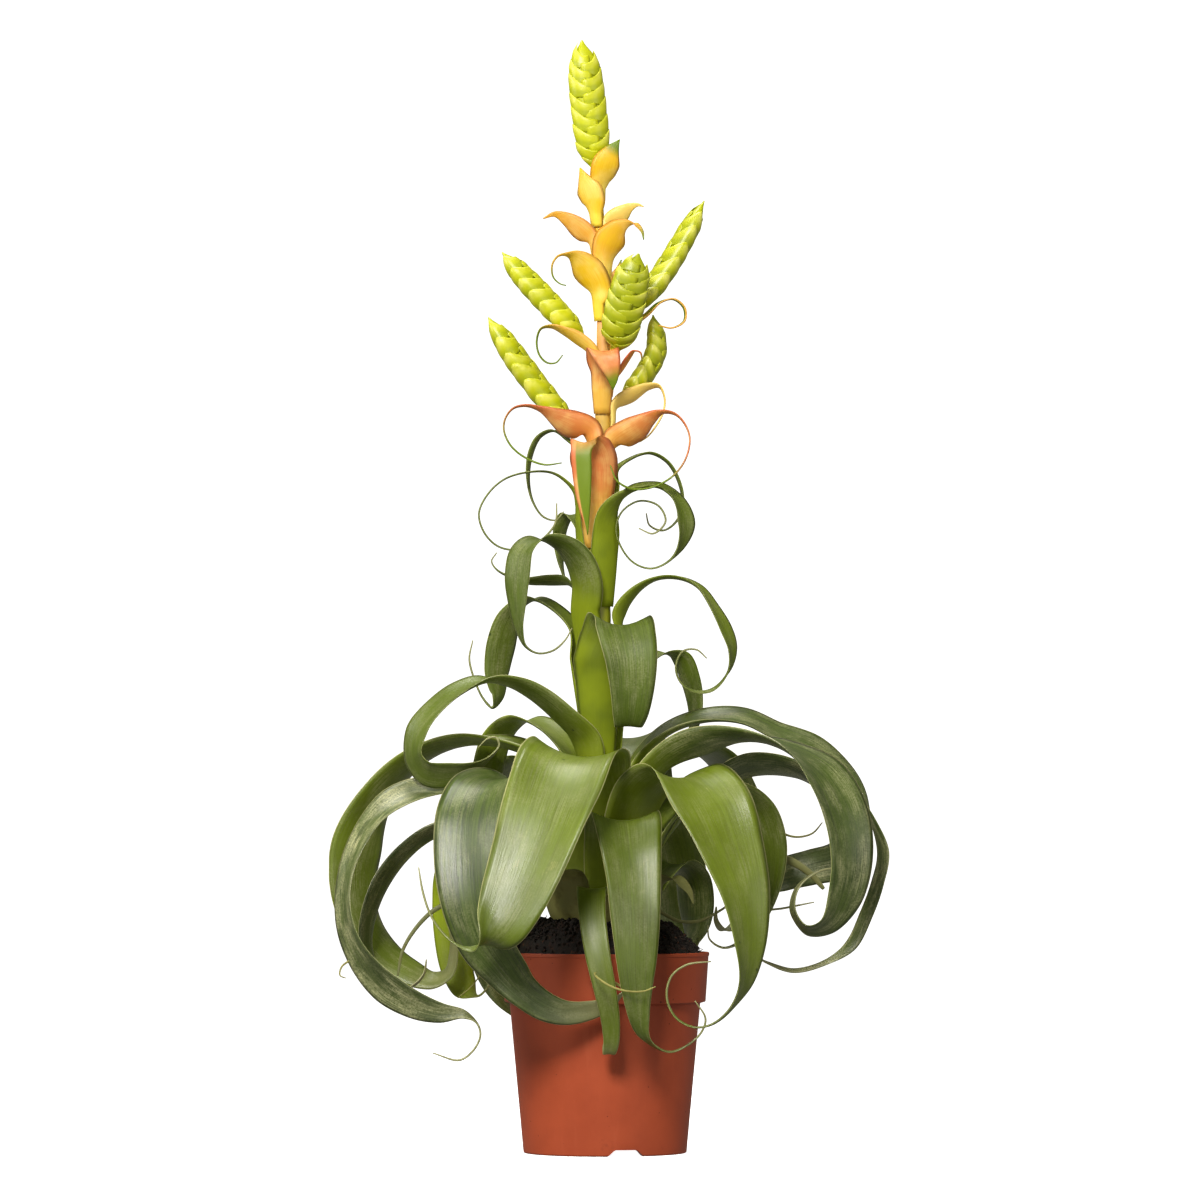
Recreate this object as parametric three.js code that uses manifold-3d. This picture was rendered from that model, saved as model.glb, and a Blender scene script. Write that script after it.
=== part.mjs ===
// A flowering air plant in a round plastic pot.
// Millimetres, +Z up. The origin is the middle of the pot's foot, and the front is -Y.

import * as THREE from 'three';
import { mergeVertices } from 'three/addons/utils/BufferGeometryUtils.js';
import Module from 'manifold-3d';

const wasm = await Module();
wasm.setup();

// Driving dimensions
const POT = {
  footRadius: 47.3,
  footHeight: 4,
  footRingWidth: 3.4,
  bodyTopRadius: 55.2,
  bandBottom: 87.5,
  bandRadius: 58.3,
  rimRadius: 60,
  height: 116,
  beadHeight: 2.3,
  beadProud: 0.4,
  wall: 1.2,
  notchWidth: 21.5,
  notchAzimuths: [285, 45, 165],
  drainRadius: 4,
  drainCircle: 30,
  drainCount: 4,
  drainSides: 10,
  floorThickness: 1.4,
  footEdge: 1.2,
  bandStep: 1,
  notchSlope: 4,
  notchClear: 0.2,
  sides: 36,
};
// The peat's surface from near the wall up to the bowl under the bulb, as [radius, height]
const SOIL = {
  wallTop: 112,
  wallClear: 0.5,
  mound: [[52, 121], [44, 128], [36, 133], [31, 133]],
  bowlRadii: [26, 18],
  bowlClear: 0.7,
  crumb: 1.3,
  tilt: 0.03,
};
const GAP = 0.3;
const BULB = { height: 152, outerRadius: 34, pitch: 2.8, stemRadius: 9 };
const SHEATH_THICKNESS = 1.2;
const BLADE_THICKNESS = 1.1;
const TAIL_THICKNESS = 1.3;
const STALK_SHEATH_THICKNESS = 1.0;
const STALK_SHEATH_FLARE = 0.12;
const STALK_SHEATH_CLEAR = 0.3;
const STALK_SHEATH_HALF_ANGLE = 62;
const BULB_SHEATH_HALF_ANGLE = 50;
const CROWDED_SHEATH = { layer: 5, halfAngle: 46 };
const SHEATH_ARC_STEP = 0.4;
const STALK_SHEATH_STEP = 16;
// How cupped a blade is (half angle of its section) from the sheath, at 0, to its tip, at 1
const CUP_AFTER_SHEATH = [[0.3, 0.5], [0.6, 0.3], [1, 0.15]];
const ROSETTE_COLUMNS = 5;
const STALK_COLUMNS = 4;
const WELD = 1e-4;
const STEM_SIDES = 16;
const SPIKE_SIDES = 8;
const LENGTH_PER_RING = 58;
const TURN_PER_RING = THREE.MathUtils.degToRad(32);

const COLOURS = {
  pot: { color: 0xa54e30, roughness: 0.5 },
  soil: { color: 0x241710, roughness: 0.95 },
  stem: { color: 0x9aa61c, roughness: 0.55 },
  leaf: { color: 0x5b7a3a, roughness: 0.42 },
  stalk_leaf: { color: 0x6c8a34, roughness: 0.45 },
  bract: { color: 0xe0a055, roughness: 0.5 },
  spike: { color: 0xb2c42a, roughness: 0.5 },
};

const DEG = THREE.MathUtils.DEG2RAD;
const UP = new THREE.Vector3(0, 0, 1);

// Stem: height, sideways lean and radius of its middle line
const STEM_LINE = [
  [96, 0, 9], [150, 0, 9], [233, -3.5, 7.8], [290, -4.5, 8.2], [335, -5.5, 8.6], [362, -5, 7.4],
  [392, -3.2, 5.4], [413, -1.5, 4.6], [477, -1, 3.8], [500, -1, 3.5], [535, -3, 3.4],
  [568, -5.5, 2.8],
];

function stemAt(height) {
  const last = STEM_LINE.length - 1;
  let row = 0;
  while (row < last - 1 && height > STEM_LINE[row + 1][0]) {
    row += 1;
  }
  const [z0, x0, r0] = STEM_LINE[row];
  const [z1, x1, r1] = STEM_LINE[row + 1];
  const t = THREE.MathUtils.clamp((height - z0) / (z1 - z0), 0, 1);
  return { x: x0 + (x1 - x0) * t, radius: r0 + (r1 - r0) * t };
}

// Rosette leaves: bulb layer (0 is the outermost), azimuth of the sheath, height where the blade
// leaves it, then the blade's middle line as [x, y, z, half width, width direction if it turns].
const ROSETTE = [
  // Front left, the broadest
  { layer: 4, azimuth: 256, throat: 185, line: [
    [-8, -24, 202, 26], [-12, -32, 218, 28, 0.96, -0.24, -0.1], [-15, -50, 228, 29.5, 0.96, -0.24, -0.16],
    [-21, -72, 225, 29.5], [-30, -92, 203, 28, 0.97, -0.24, -0.05], [-40, -106, 175, 24.5], [-50, -114, 150, 21, 0.97, -0.24, 0],
    [-58, -117, 135, 16.5], [-66, -117, 126, 11, 0.8, 0.1, 0.5], [-74, -115, 121, 6.5],
    [-82, -113, 122, 3.6, 0, 1, 0], [-91, -111, 129, 2.4],
    [-98, -110, 139, 2], [-102.5, -109, 152, 1.6], [-105, -108, 166, 1, 0, 1, 0]] },
  // Left front, its end crossing in front of the pot
  { layer: 2, azimuth: 222, throat: 165, line: [
    [-25, -22, 185, 23], [-37, -34, 205, 23.5], [-53, -48, 215, 23.5, 0.7, -0.7, 0],
    [-66, -62, 213, 23.5, 0.8, -0.6, 0], [-73, -76, 197, 23.5, 0.92, -0.38, 0], [-75, -86, 172, 22.5],
    [-73, -92, 146, 20, 0.92, -0.2, 0.2], [-67, -92, 124, 16.5], [-56, -87, 107, 12.5, 0.5, -0.2, 0.8],
    [-46, -80, 95, 10, 0, 0, 1],
    [-34, -74, 86.5, 8.5], [-22, -70, 83, 7], [-8, -67, 84.5, 5.5, 0, 0, 1], [4, -66, 89, 3.5],
    [12, -66, 96, 1.5, 0, -1, 1]] },
  // Right front
  { layer: 3, azimuth: 318, throat: 172, line: [
    [21, -21, 194, 23.5], [30, -31, 210, 26, 0.76, 0.65, 0], [44, -47, 216, 26.5, 0.9, 0.45, 0],
    [58, -62, 202, 26, 0.96, 0.28, 0], [68, -74, 178, 23.5], [77, -82, 150, 19],
    [80, -86, 122, 14.5], [78, -88, 100, 9.5],
    [70, -88, 85, 4, 0.3, 0.95, 0], [60, -87, 77, 2.6], [50, -86, 75.5, 2], [40, -85, 81, 1.7],
    [35, -84, 92, 1.4], [37.5, -83, 104, 1.2], [46, -83, 110.5, 1], [60, -84, 112.5, 0.8, 0, 1, 0]] },
  // Outer right, arching over and back under
  { layer: 6, azimuth: 5, throat: 208, line: [
    [20, 3, 224, 15], [37, 8, 242, 14.5], [58, 12, 250, 14], [80, 13, 250, 13.5],
    [101, 13, 241, 12.5, 0.15, 0.85, 0.45], [120, 12, 233, 12.5, 0.35, 0.78, 0.5],
    [137, 10, 219, 11.5, 0.45, 0.75, 0.4], [148, 8, 206, 10], [155, 6, 191, 8],
    [160.5, 4, 173, 7, -0.5, 0.85, 0], [157, 2, 155, 6.5], [151, 0, 138, 5.5],
    [142, -2, 120, 4.5, -0.5, 0.6, 0.6], [127, -4, 110, 3.5, 0, 0.9, 0.4], [109, -5, 105.5, 3],
    [94, -6, 110, 2.2], [88, -6, 113, 1.4]] },
  // Right wide, turned to the front
  { layer: 5, azimuth: 345, throat: 196, line: [
    [23, -6, 210, 17], [36, -11, 224, 18.5], [54, -18, 233, 19, 0.2, 0.8, -0.45], [76, -25, 238, 19],
    [98, -31, 235, 19.5, 0, 1, 0.1], [122, -38, 220, 19.5, 0.6, 0.75, 0.1],
    [136, -43, 196, 17, 0.85, 0.5, 0], [140, -46, 170, 14.5], [136, -46, 148, 12.5, 0.85, 0.5, 0],
    [127, -45, 133, 9.5, 0.4, 0.75, -0.4], [116, -44, 130, 6.5, 0, 0.85, -0.5],
    [108, -43, 140, 4, -0.5, 0.85, 0], [109, -43, 151, 3], [115, -42, 158.5, 2.6], [124, -41, 163.5, 2],
    [131, -40, 165, 1.3, 0, 1, 0]] },
  // Middle front
  { layer: 1, azimuth: 285, throat: 158, line: [
    [8, -34, 176, 20.5], [9.5, -46, 189, 21.5], [11, -58, 191.5, 21.5], [13, -72, 177, 19.5],
    [15.5, -80, 155, 16.5], [16.5, -84, 135, 14.8], [17, -86, 115, 12.6], [17.5, -86, 98, 9.6],
    [19, -84, 82, 6.4, 0.96, 0.26, 0], [22, -80, 71, 3.8], [28, -76, 64.5, 2.6, 0.5, -0.86, 0],
    [37, -72, 61, 2.2, 0, -1, 0], [48, -70, 65.5, 1.6], [55, -70, 72.5, 1.2], [57, -71, 80, 1],
    [51, -73, 90, 0.8, 0, -1, 0]] },
  // Left arch from the middle, looping back under itself
  { layer: 7, azimuth: 222, throat: 222, line: [
    [-15, -13, 238, 15], [-26, -20, 250, 14.5], [-40, -27, 262, 14], [-53, -32, 269, 13.5],
    [-68, -35, 271.5, 13], [-83.5, -35, 266, 12.5], [-97, -34, 256, 11, 0.6, -0.78, 0],
    [-107, -33, 243, 10.5, 0.66, -0.74, 0], [-109, -32, 229, 9.5], [-102, -32, 220, 9.5, 0.2, -0.6, 0.75],
    [-89, -32, 219, 8.5, 0, -0.5, 0.86], [-75, -31, 223, 6], [-66, -30, 229, 3, 0, -1, 0.3],
    [-61, -30, 235.5, 1.8, 0, -1, 0], [-63, -30, 240, 1.4], [-68, -30, 239, 1.2], [-73, -30, 234, 0.8]] },
  // Back left, high
  { layer: 6, azimuth: 150, throat: 210, line: [
    [-20, 13, 228, 13.5], [-33, 23, 244, 13], [-48, 34, 250, 12.5], [-61, 42, 241, 11.5],
    [-68, 45, 221, 10.5, -0.9, -0.4, 0], [-70, 46, 199, 9.5], [-67, 46, 181, 8], [-60, 46, 168, 5.5],
    [-52, 46, 166, 3.5, 0, -1, 0], [-46, 46, 173, 2], [-49, 46, 181, 1.2]] },
  // Far left, broad
  { layer: 5, azimuth: 178, throat: 196, line: [
    [-26, 2, 214, 20], [-48, 6, 231, 21], [-78, 12, 236, 20.5], [-106, 17, 227, 20],
    [-129, 20, 205, 19.5, -0.6, -0.8, 0], [-142.5, 21, 177, 19, -0.8, -0.6, 0], [-144.6, 20, 151, 17.5],
    [-138, 17, 128, 15], [-126, 13, 113, 12.5, -0.45, -0.65, -0.6], [-112, 10, 104, 10.5, 0, -0.65, -0.75],
    [-100, 8, 100, 8], [-91, 6, 104, 5.5, 0.5, -0.8, -0.3], [-88, 5, 115, 4, 0.7, -0.7, 0],
    [-88.5, 4, 125, 2.8], [-91, 4, 132, 1.6]] },
  // Left, shining, sweeping down and under
  { layer: 3, azimuth: 190, throat: 172, line: [
    [-31, -3, 190, 14], [-50, -1, 208.5, 11.5], [-78, -8, 211, 11.5, 0.3, -0.85, -0.35],
    [-101, -23, 210, 11.5, 0.4, -0.75, -0.5], [-120, -36, 203, 11.5, 0.45, -0.72, -0.5],
    [-135, -47, 188, 10.5, 0.55, -0.8, -0.1], [-146, -57, 163, 10, 0.5, -0.85, 0],
    [-147.5, -63, 138, 10],
    [-141, -67, 118, 10, 0.45, -0.7, 0.5], [-126, -68, 99, 10, 0.4, -0.4, 0.8], [-109, -67, 88, 8.5],
    [-94, -66, 83, 6], [-81, -65, 82, 3, 0, 0.2, 0.9], [-73, -65, 77, 1.8, 0, 1, 0],
    [-71, -65, 70, 1.5], [-75, -65, 61.5, 1.2], [-83, -65, 56, 1.1], [-98, -65, 60, 0.8, 0, 1, 0]] },
  // Left, narrow and dark
  { layer: 1, azimuth: 183, throat: 158, line: [
    [-36, -2, 168, 14.5], [-52, -5, 181, 14.5], [-76, -9, 188, 13, -0.1, -0.9, 0.3],
    [-98, -12, 184, 12, -0.25, -0.9, 0.3], [-114, -14, 173, 11], [-127, -16, 157, 10.5, -0.4, -0.85, 0.25],
    [-135, -17, 138, 9.5], [-137, -17, 121, 8, -0.45, -0.85, 0],
    [-132, -16, 106, 5.5], [-123, -15, 97, 3], [-113, -14, 96, 2], [-105, -13, 103, 1.5],
    [-103, -13, 112, 1]] },
  // Front, low and narrow, hanging over the rim
  { layer: 0, azimuth: 262, throat: 144, line: [
    [-6, -43, 152, 10], [-7.5, -57, 151, 8.8], [-7, -68, 136, 8], [-4, -75, 116, 7.4],
    [0, -77.5, 97, 6.6], [3, -76.5, 80, 5.6], [3.5, -73, 66, 4.5], [2, -68, 60, 3.5],
    [0.5, -64.5, 63, 2.5], [1, -66, 71, 1.2]] },
  // Left behind, low
  { layer: 0, azimuth: 159, throat: 148, line: [
    [-40, 14, 163, 13.5], [-56, 18, 176, 14], [-74, 22, 178, 13.5], [-86, 25, 165, 13, -0.8, -0.6, 0],
    [-89, 26, 143, 12, -0.95, -0.3, 0], [-88, 26, 122, 11.5], [-86, 25, 106, 10], [-81, 23, 94, 8, -0.85, -0.3, -0.4],
    [-74, 21, 90, 4.5, 0, -1, 0], [-67, 20, 98, 2.2], [-68, 20, 106, 1.3]] },
  // Behind the pot's left
  { layer: 2, azimuth: 118, throat: 165, line: [
    [-17, 31, 180, 16.5], [-27, 46, 192, 17], [-42, 62, 190, 16], [-57, 71, 174, 14.5],
    [-67, 72, 150, 12.5], [-72, 68, 124, 10.5], [-68, 65, 101, 7.5, -0.9, 0, -0.4], [-58, 65, 83, 4.5],
    [-48, 67, 74, 2.5, 0, -1, 0], [-40, 70, 74, 1.5], [-34, 72, 80, 1]] },
  // Right, behind the right front leaf
  { layer: 2, azimuth: 14, throat: 165, line: [
    [33, 9, 184, 19], [48, 14, 202, 20], [68, 20, 209, 19.5], [85, 26, 199, 18.5, -0.6, 0.8, 0],
    [92, 30, 178, 17, -0.75, 0.65, 0], [93, 31, 155, 14], [88, 30, 135, 11], [79, 28, 122, 7],
    [69, 26, 118, 4, 0, 1, 0], [61, 24, 123, 2.5], [60, 23, 131, 1.5]] },
  // Right behind, its end swinging back to the left
  { layer: 1, azimuth: 40, throat: 158, line: [
    [27, 28, 170, 16.5], [42, 44, 189, 17], [60, 58, 208, 16.5, -0.2, 0.85, -0.45],
    [84, 66, 221, 16, 0, 0.85, -0.5], [112, 69, 219, 15, 0.1, 0.9, -0.35],
    [134, 67, 203, 14, -0.3, 0.9, 0.3], [145, 62, 184, 13, -0.3, 0.6, 0.7],
    [138, 57, 170, 12, 0, 0.3, 0.95], [122, 54, 165, 11], [104, 53, 160, 10, 0, 0.2, 0.98],
    [92, 53, 152, 7], [88, 54, 145, 4.5, 0, 1, -0.3], [92, 55, 140, 2.5, 0, 1, 0],
    [102, 56, 140, 2], [113, 56, 142, 1.5], [123, 56, 144, 1]] },
  // Behind the pot's right
  { layer: 0, azimuth: 40, throat: 148, line: [
    [34, 28, 160, 13.5], [42, 37, 166, 13.5], [49, 44, 159, 13.5], [52, 48, 145, 13, -0.85, 0.5, 0],
    [51.5, 50, 131, 12.5], [48, 52, 120, 9.5], [43, 55, 114, 5.5, 0, 1, 0],
    [37, 57, 117, 2.8], [36, 58, 125, 1.6]] },
  // Back
  { layer: 3, azimuth: 74, throat: 172, line: [
    [9, 31, 191, 20], [14, 48, 206, 20.5], [23, 69, 208, 20], [33, 86, 195, 19], [41, 97, 171, 18],
    [45, 101, 145, 16.5], [44, 98, 122, 13], [40, 89, 107, 8.5], [36, 80, 102, 5], [33, 73, 108, 3],
    [33, 72, 116, 1.6]] },
  // Back left
  { layer: 4, azimuth: 134, throat: 185, line: [
    [-17, 22, 205, 18.5], [-29, 40, 221, 19], [-45, 64, 225, 18.5], [-61, 87, 213, 18],
    [-74, 102, 190, 17], [-80, 107, 162, 15.5], [-77, 103, 138, 12], [-69, 94, 122, 8],
    [-60, 85, 117, 5], [-54, 79, 122, 3], [-53, 78, 131, 1.6]] },
  // Back right
  { layer: 4, azimuth: 34, throat: 185, line: [
    [22, 17, 205, 19.5], [35, 38, 224, 20], [52, 66, 232, 19.5], [69, 92, 223, 18.5],
    [82, 107, 200, 17], [88, 112, 173, 15], [86, 108, 148, 11.5], [79, 99, 132, 8],
    [71, 91, 127, 5], [66, 86, 133, 3], [66, 86, 141, 1.6]] },
  // Back, high
  { layer: 5, azimuth: 82, throat: 196, line: [
    [4, 25, 214, 19], [8, 42, 234, 20], [14, 68, 240, 19.5], [20, 94, 230, 18.5],
    [24, 114, 208, 17], [26, 125, 182, 14.5], [25, 127, 156, 11], [20, 123, 138, 7.5],
    [15, 116, 129, 4.5], [13, 112, 130, 2.6], [13, 113, 137, 1.5]] },
];

// Stalk leaves and bracts: azimuth, height of the root, height where the blade leaves the stalk,
// then the blade's middle line as for the rosette.
const STALK_LEAVES = [
  // Right behind, low
  { azimuth: 40, root: 200, throat: 252, line: [
    [12, 12, 268, 8.5], [22, 18, 282, 8.5], [33, 24, 289, 8.5], [43, 29, 287, 8.5, -0.8, 0.6, 0],
    [49, 32, 274, 8.5], [52, 34, 258, 7.5], [51, 34, 246, 5.5, -0.5, 0.86, 0], [45, 33, 239, 3.5],
    [37, 32, 235, 2], [29, 31, 239, 1.2, 0, 1, 0]] },
  // Broad front blade, folded over forward
  { azimuth: 270, root: 215, throat: 286, line: [
    [-1, -17.5, 294, 16], [4.5, -21.5, 302, 18], [10, -30, 304, 18], [13, -39, 296, 17],
    [15, -43, 285, 15.5], [15.5, -43, 268, 13], [14.5, -40, 254, 10.5], [13, -35, 247, 8],
    [12, -29.5, 248, 5.5], [12, -27, 254, 3], [12.5, -28, 261, 1.2]] },
  // Left behind, hanging
  { azimuth: 160, root: 233, throat: 286, line: [
    [-19, 5, 302, 9.5], [-29, 9, 314, 9.5], [-42, 13, 320, 9.5], [-53, 16, 313, 10, -0.6, -0.8, 0],
    [-59, 18, 297, 10, -0.9, -0.4, 0], [-62, 19, 279, 9.5], [-62, 19, 264, 7], [-66, 17, 258, 4.5],
    [-71, 16, 263, 3, 0, -1, 0], [-76, 15, 274, 2], [-79, 15, 286, 1.4], [-77, 15, 297, 1]] },
  // Right arch
  { azimuth: 0, root: 250, throat: 298, line: [
    [10, 0, 311, 9.5, 0.35, 0.85, -0.3], [18.5, 0, 324, 9], [30, 0, 331.5, 8, 0, 1, 0], [43, 0, 332, 7.5], [54, -1, 327, 7.5],
    [62, -2, 316, 7.5, 0.4, 0.9, 0], [69, -3, 303, 7.5, 0.6, 0.8, 0], [73, -4, 291, 6.5],
    [71, -5, 278, 4.5], [62, -5, 268, 3, 0, 0.9, 0.4], [52, -5, 267, 2.4], [44, -5, 272, 1.8],
    [41, -5, 281, 1.5, 0, 1, 0], [45, -5, 290, 1.2], [53, -5, 291, 1], [59, -5, 286, 0.8]] },
  // Left front strap
  { azimuth: 232, root: 268, throat: 314, line: [
    [-13, -14.5, 328, 12.5], [-17.5, -17.5, 342, 12], [-27, -20.5, 351, 10.5], [-39, -24, 353.5, 9],
    [-47, -28, 347, 8.5, 0.85, -0.5, 0], [-50, -30, 333, 8, 0.95, -0.3, 0], [-50, -30, 317, 6.5],
    [-49, -30, 303, 4.5], [-46, -29, 293, 2.8], [-39, -28, 288.5, 2, 0, -1, 0], [-30, -27, 290, 1.6],
    [-23, -26.5, 296, 1.3], [-19, -26, 303, 1]] },
  // Left behind, level
  { azimuth: 138, root: 286, throat: 318, line: [
    [-16, 12, 325, 7.5], [-22, 14.5, 330, 7], [-33, 15, 331, 6, -0.2, -0.8, 0.55], [-46, 14, 331, 5],
    [-56, 13, 334, 3.5], [-63, 12, 338, 2, 0, -1, 0], [-66, 12, 343, 1.2], [-63, 12, 348, 0.8]] },
  // Behind, hanging
  { azimuth: 128, root: 300, throat: 344, line: [
    [-12, 10, 357, 6.5], [-16, 15, 366, 6.5], [-21, 21, 370, 6], [-25, 25, 364, 5.5, -0.85, -0.5, 0],
    [-26, 27, 352, 5], [-25, 27, 340, 4], [-22, 26, 331, 2.5, 0, -1, 0], [-15, 25, 327, 1.6],
    [-9, 24, 330, 1.2], [-9, 24, 336, 0.8]] },
  // Right ringlet
  { azimuth: 306, root: 316, throat: 358, line: [
    [4.5, -12.5, 369, 11], [10, -12.5, 378, 10], [19.5, -9.5, 384, 8.5, 0.1, 0.95, 0.3], [31, -8, 385, 7.5],
    [41, -7.5, 378, 7.5, 0.5, 0.85, 0], [46, -9, 365, 7.5, 0.75, 0.66, 0], [43.5, -10, 352, 6],
    [37, -10.5, 342.5, 3.5, 0, 1, 0], [27, -10.5, 338, 2.2], [17, -10.5, 341, 1.8],
    [9.5, -10.5, 350, 1.6], [6.5, -10.5, 361, 1.5], [10, -10.5, 371, 1.3], [20, -11, 377, 1.2],
    [31, -13, 374, 1.1], [35, -14, 365, 1], [28, -14, 358, 1], [19.5, -14, 361, 0.8, 0, 1, 0]] },
  // Left ringlet, large and thin
  { azimuth: 187, root: 334, throat: 374, line: [
    [-18, -2, 382, 6], [-23, -3, 388.5, 4.5], [-31, -3.5, 393.5, 3.4], [-44, -4, 394, 2.4],
    [-58, -4.5, 390, 2], [-68, -5, 381, 1.7], [-73, -5, 370, 1.5], [-70, -5, 359, 1.3],
    [-62, -5, 351, 1.2], [-51, -5, 349, 1.1], [-38, -5, 354, 1], [-29, -5, 364, 0.9],
    [-28, -5, 376, 0.8]] },
  // Right, hanging behind the ringlet
  { azimuth: 22, root: 346, throat: 386, line: [
    [7, 4, 395, 6], [15, 7, 402, 5], [26, 10, 405.5, 4.5], [36, 12, 400.5, 4.2, -0.2, 0.98, 0],
    [42.5, 13, 390, 4], [45, 13, 378, 3.5], [42, 13, 367, 2.4], [34, 13, 361, 1.6],
    [26, 13, 364, 1.2], [24, 13, 371, 0.8]] },
  // Left, narrow, hanging
  { azimuth: 165, root: 358, throat: 398, line: [
    [-15, 3, 406, 5.5], [-22, 6, 413, 5], [-30, 9, 418.5, 4.5], [-38, 11, 415, 4.2],
    [-43, 12, 405, 4, -0.4, -0.9, 0], [-44.5, 12, 391, 3.6], [-42, 12, 378, 2.6],
    [-36, 12, 369, 1.8, 0, -1, 0], [-28.5, 12, 367, 1.3], [-24, 12, 372, 0.8]] },
];

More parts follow.
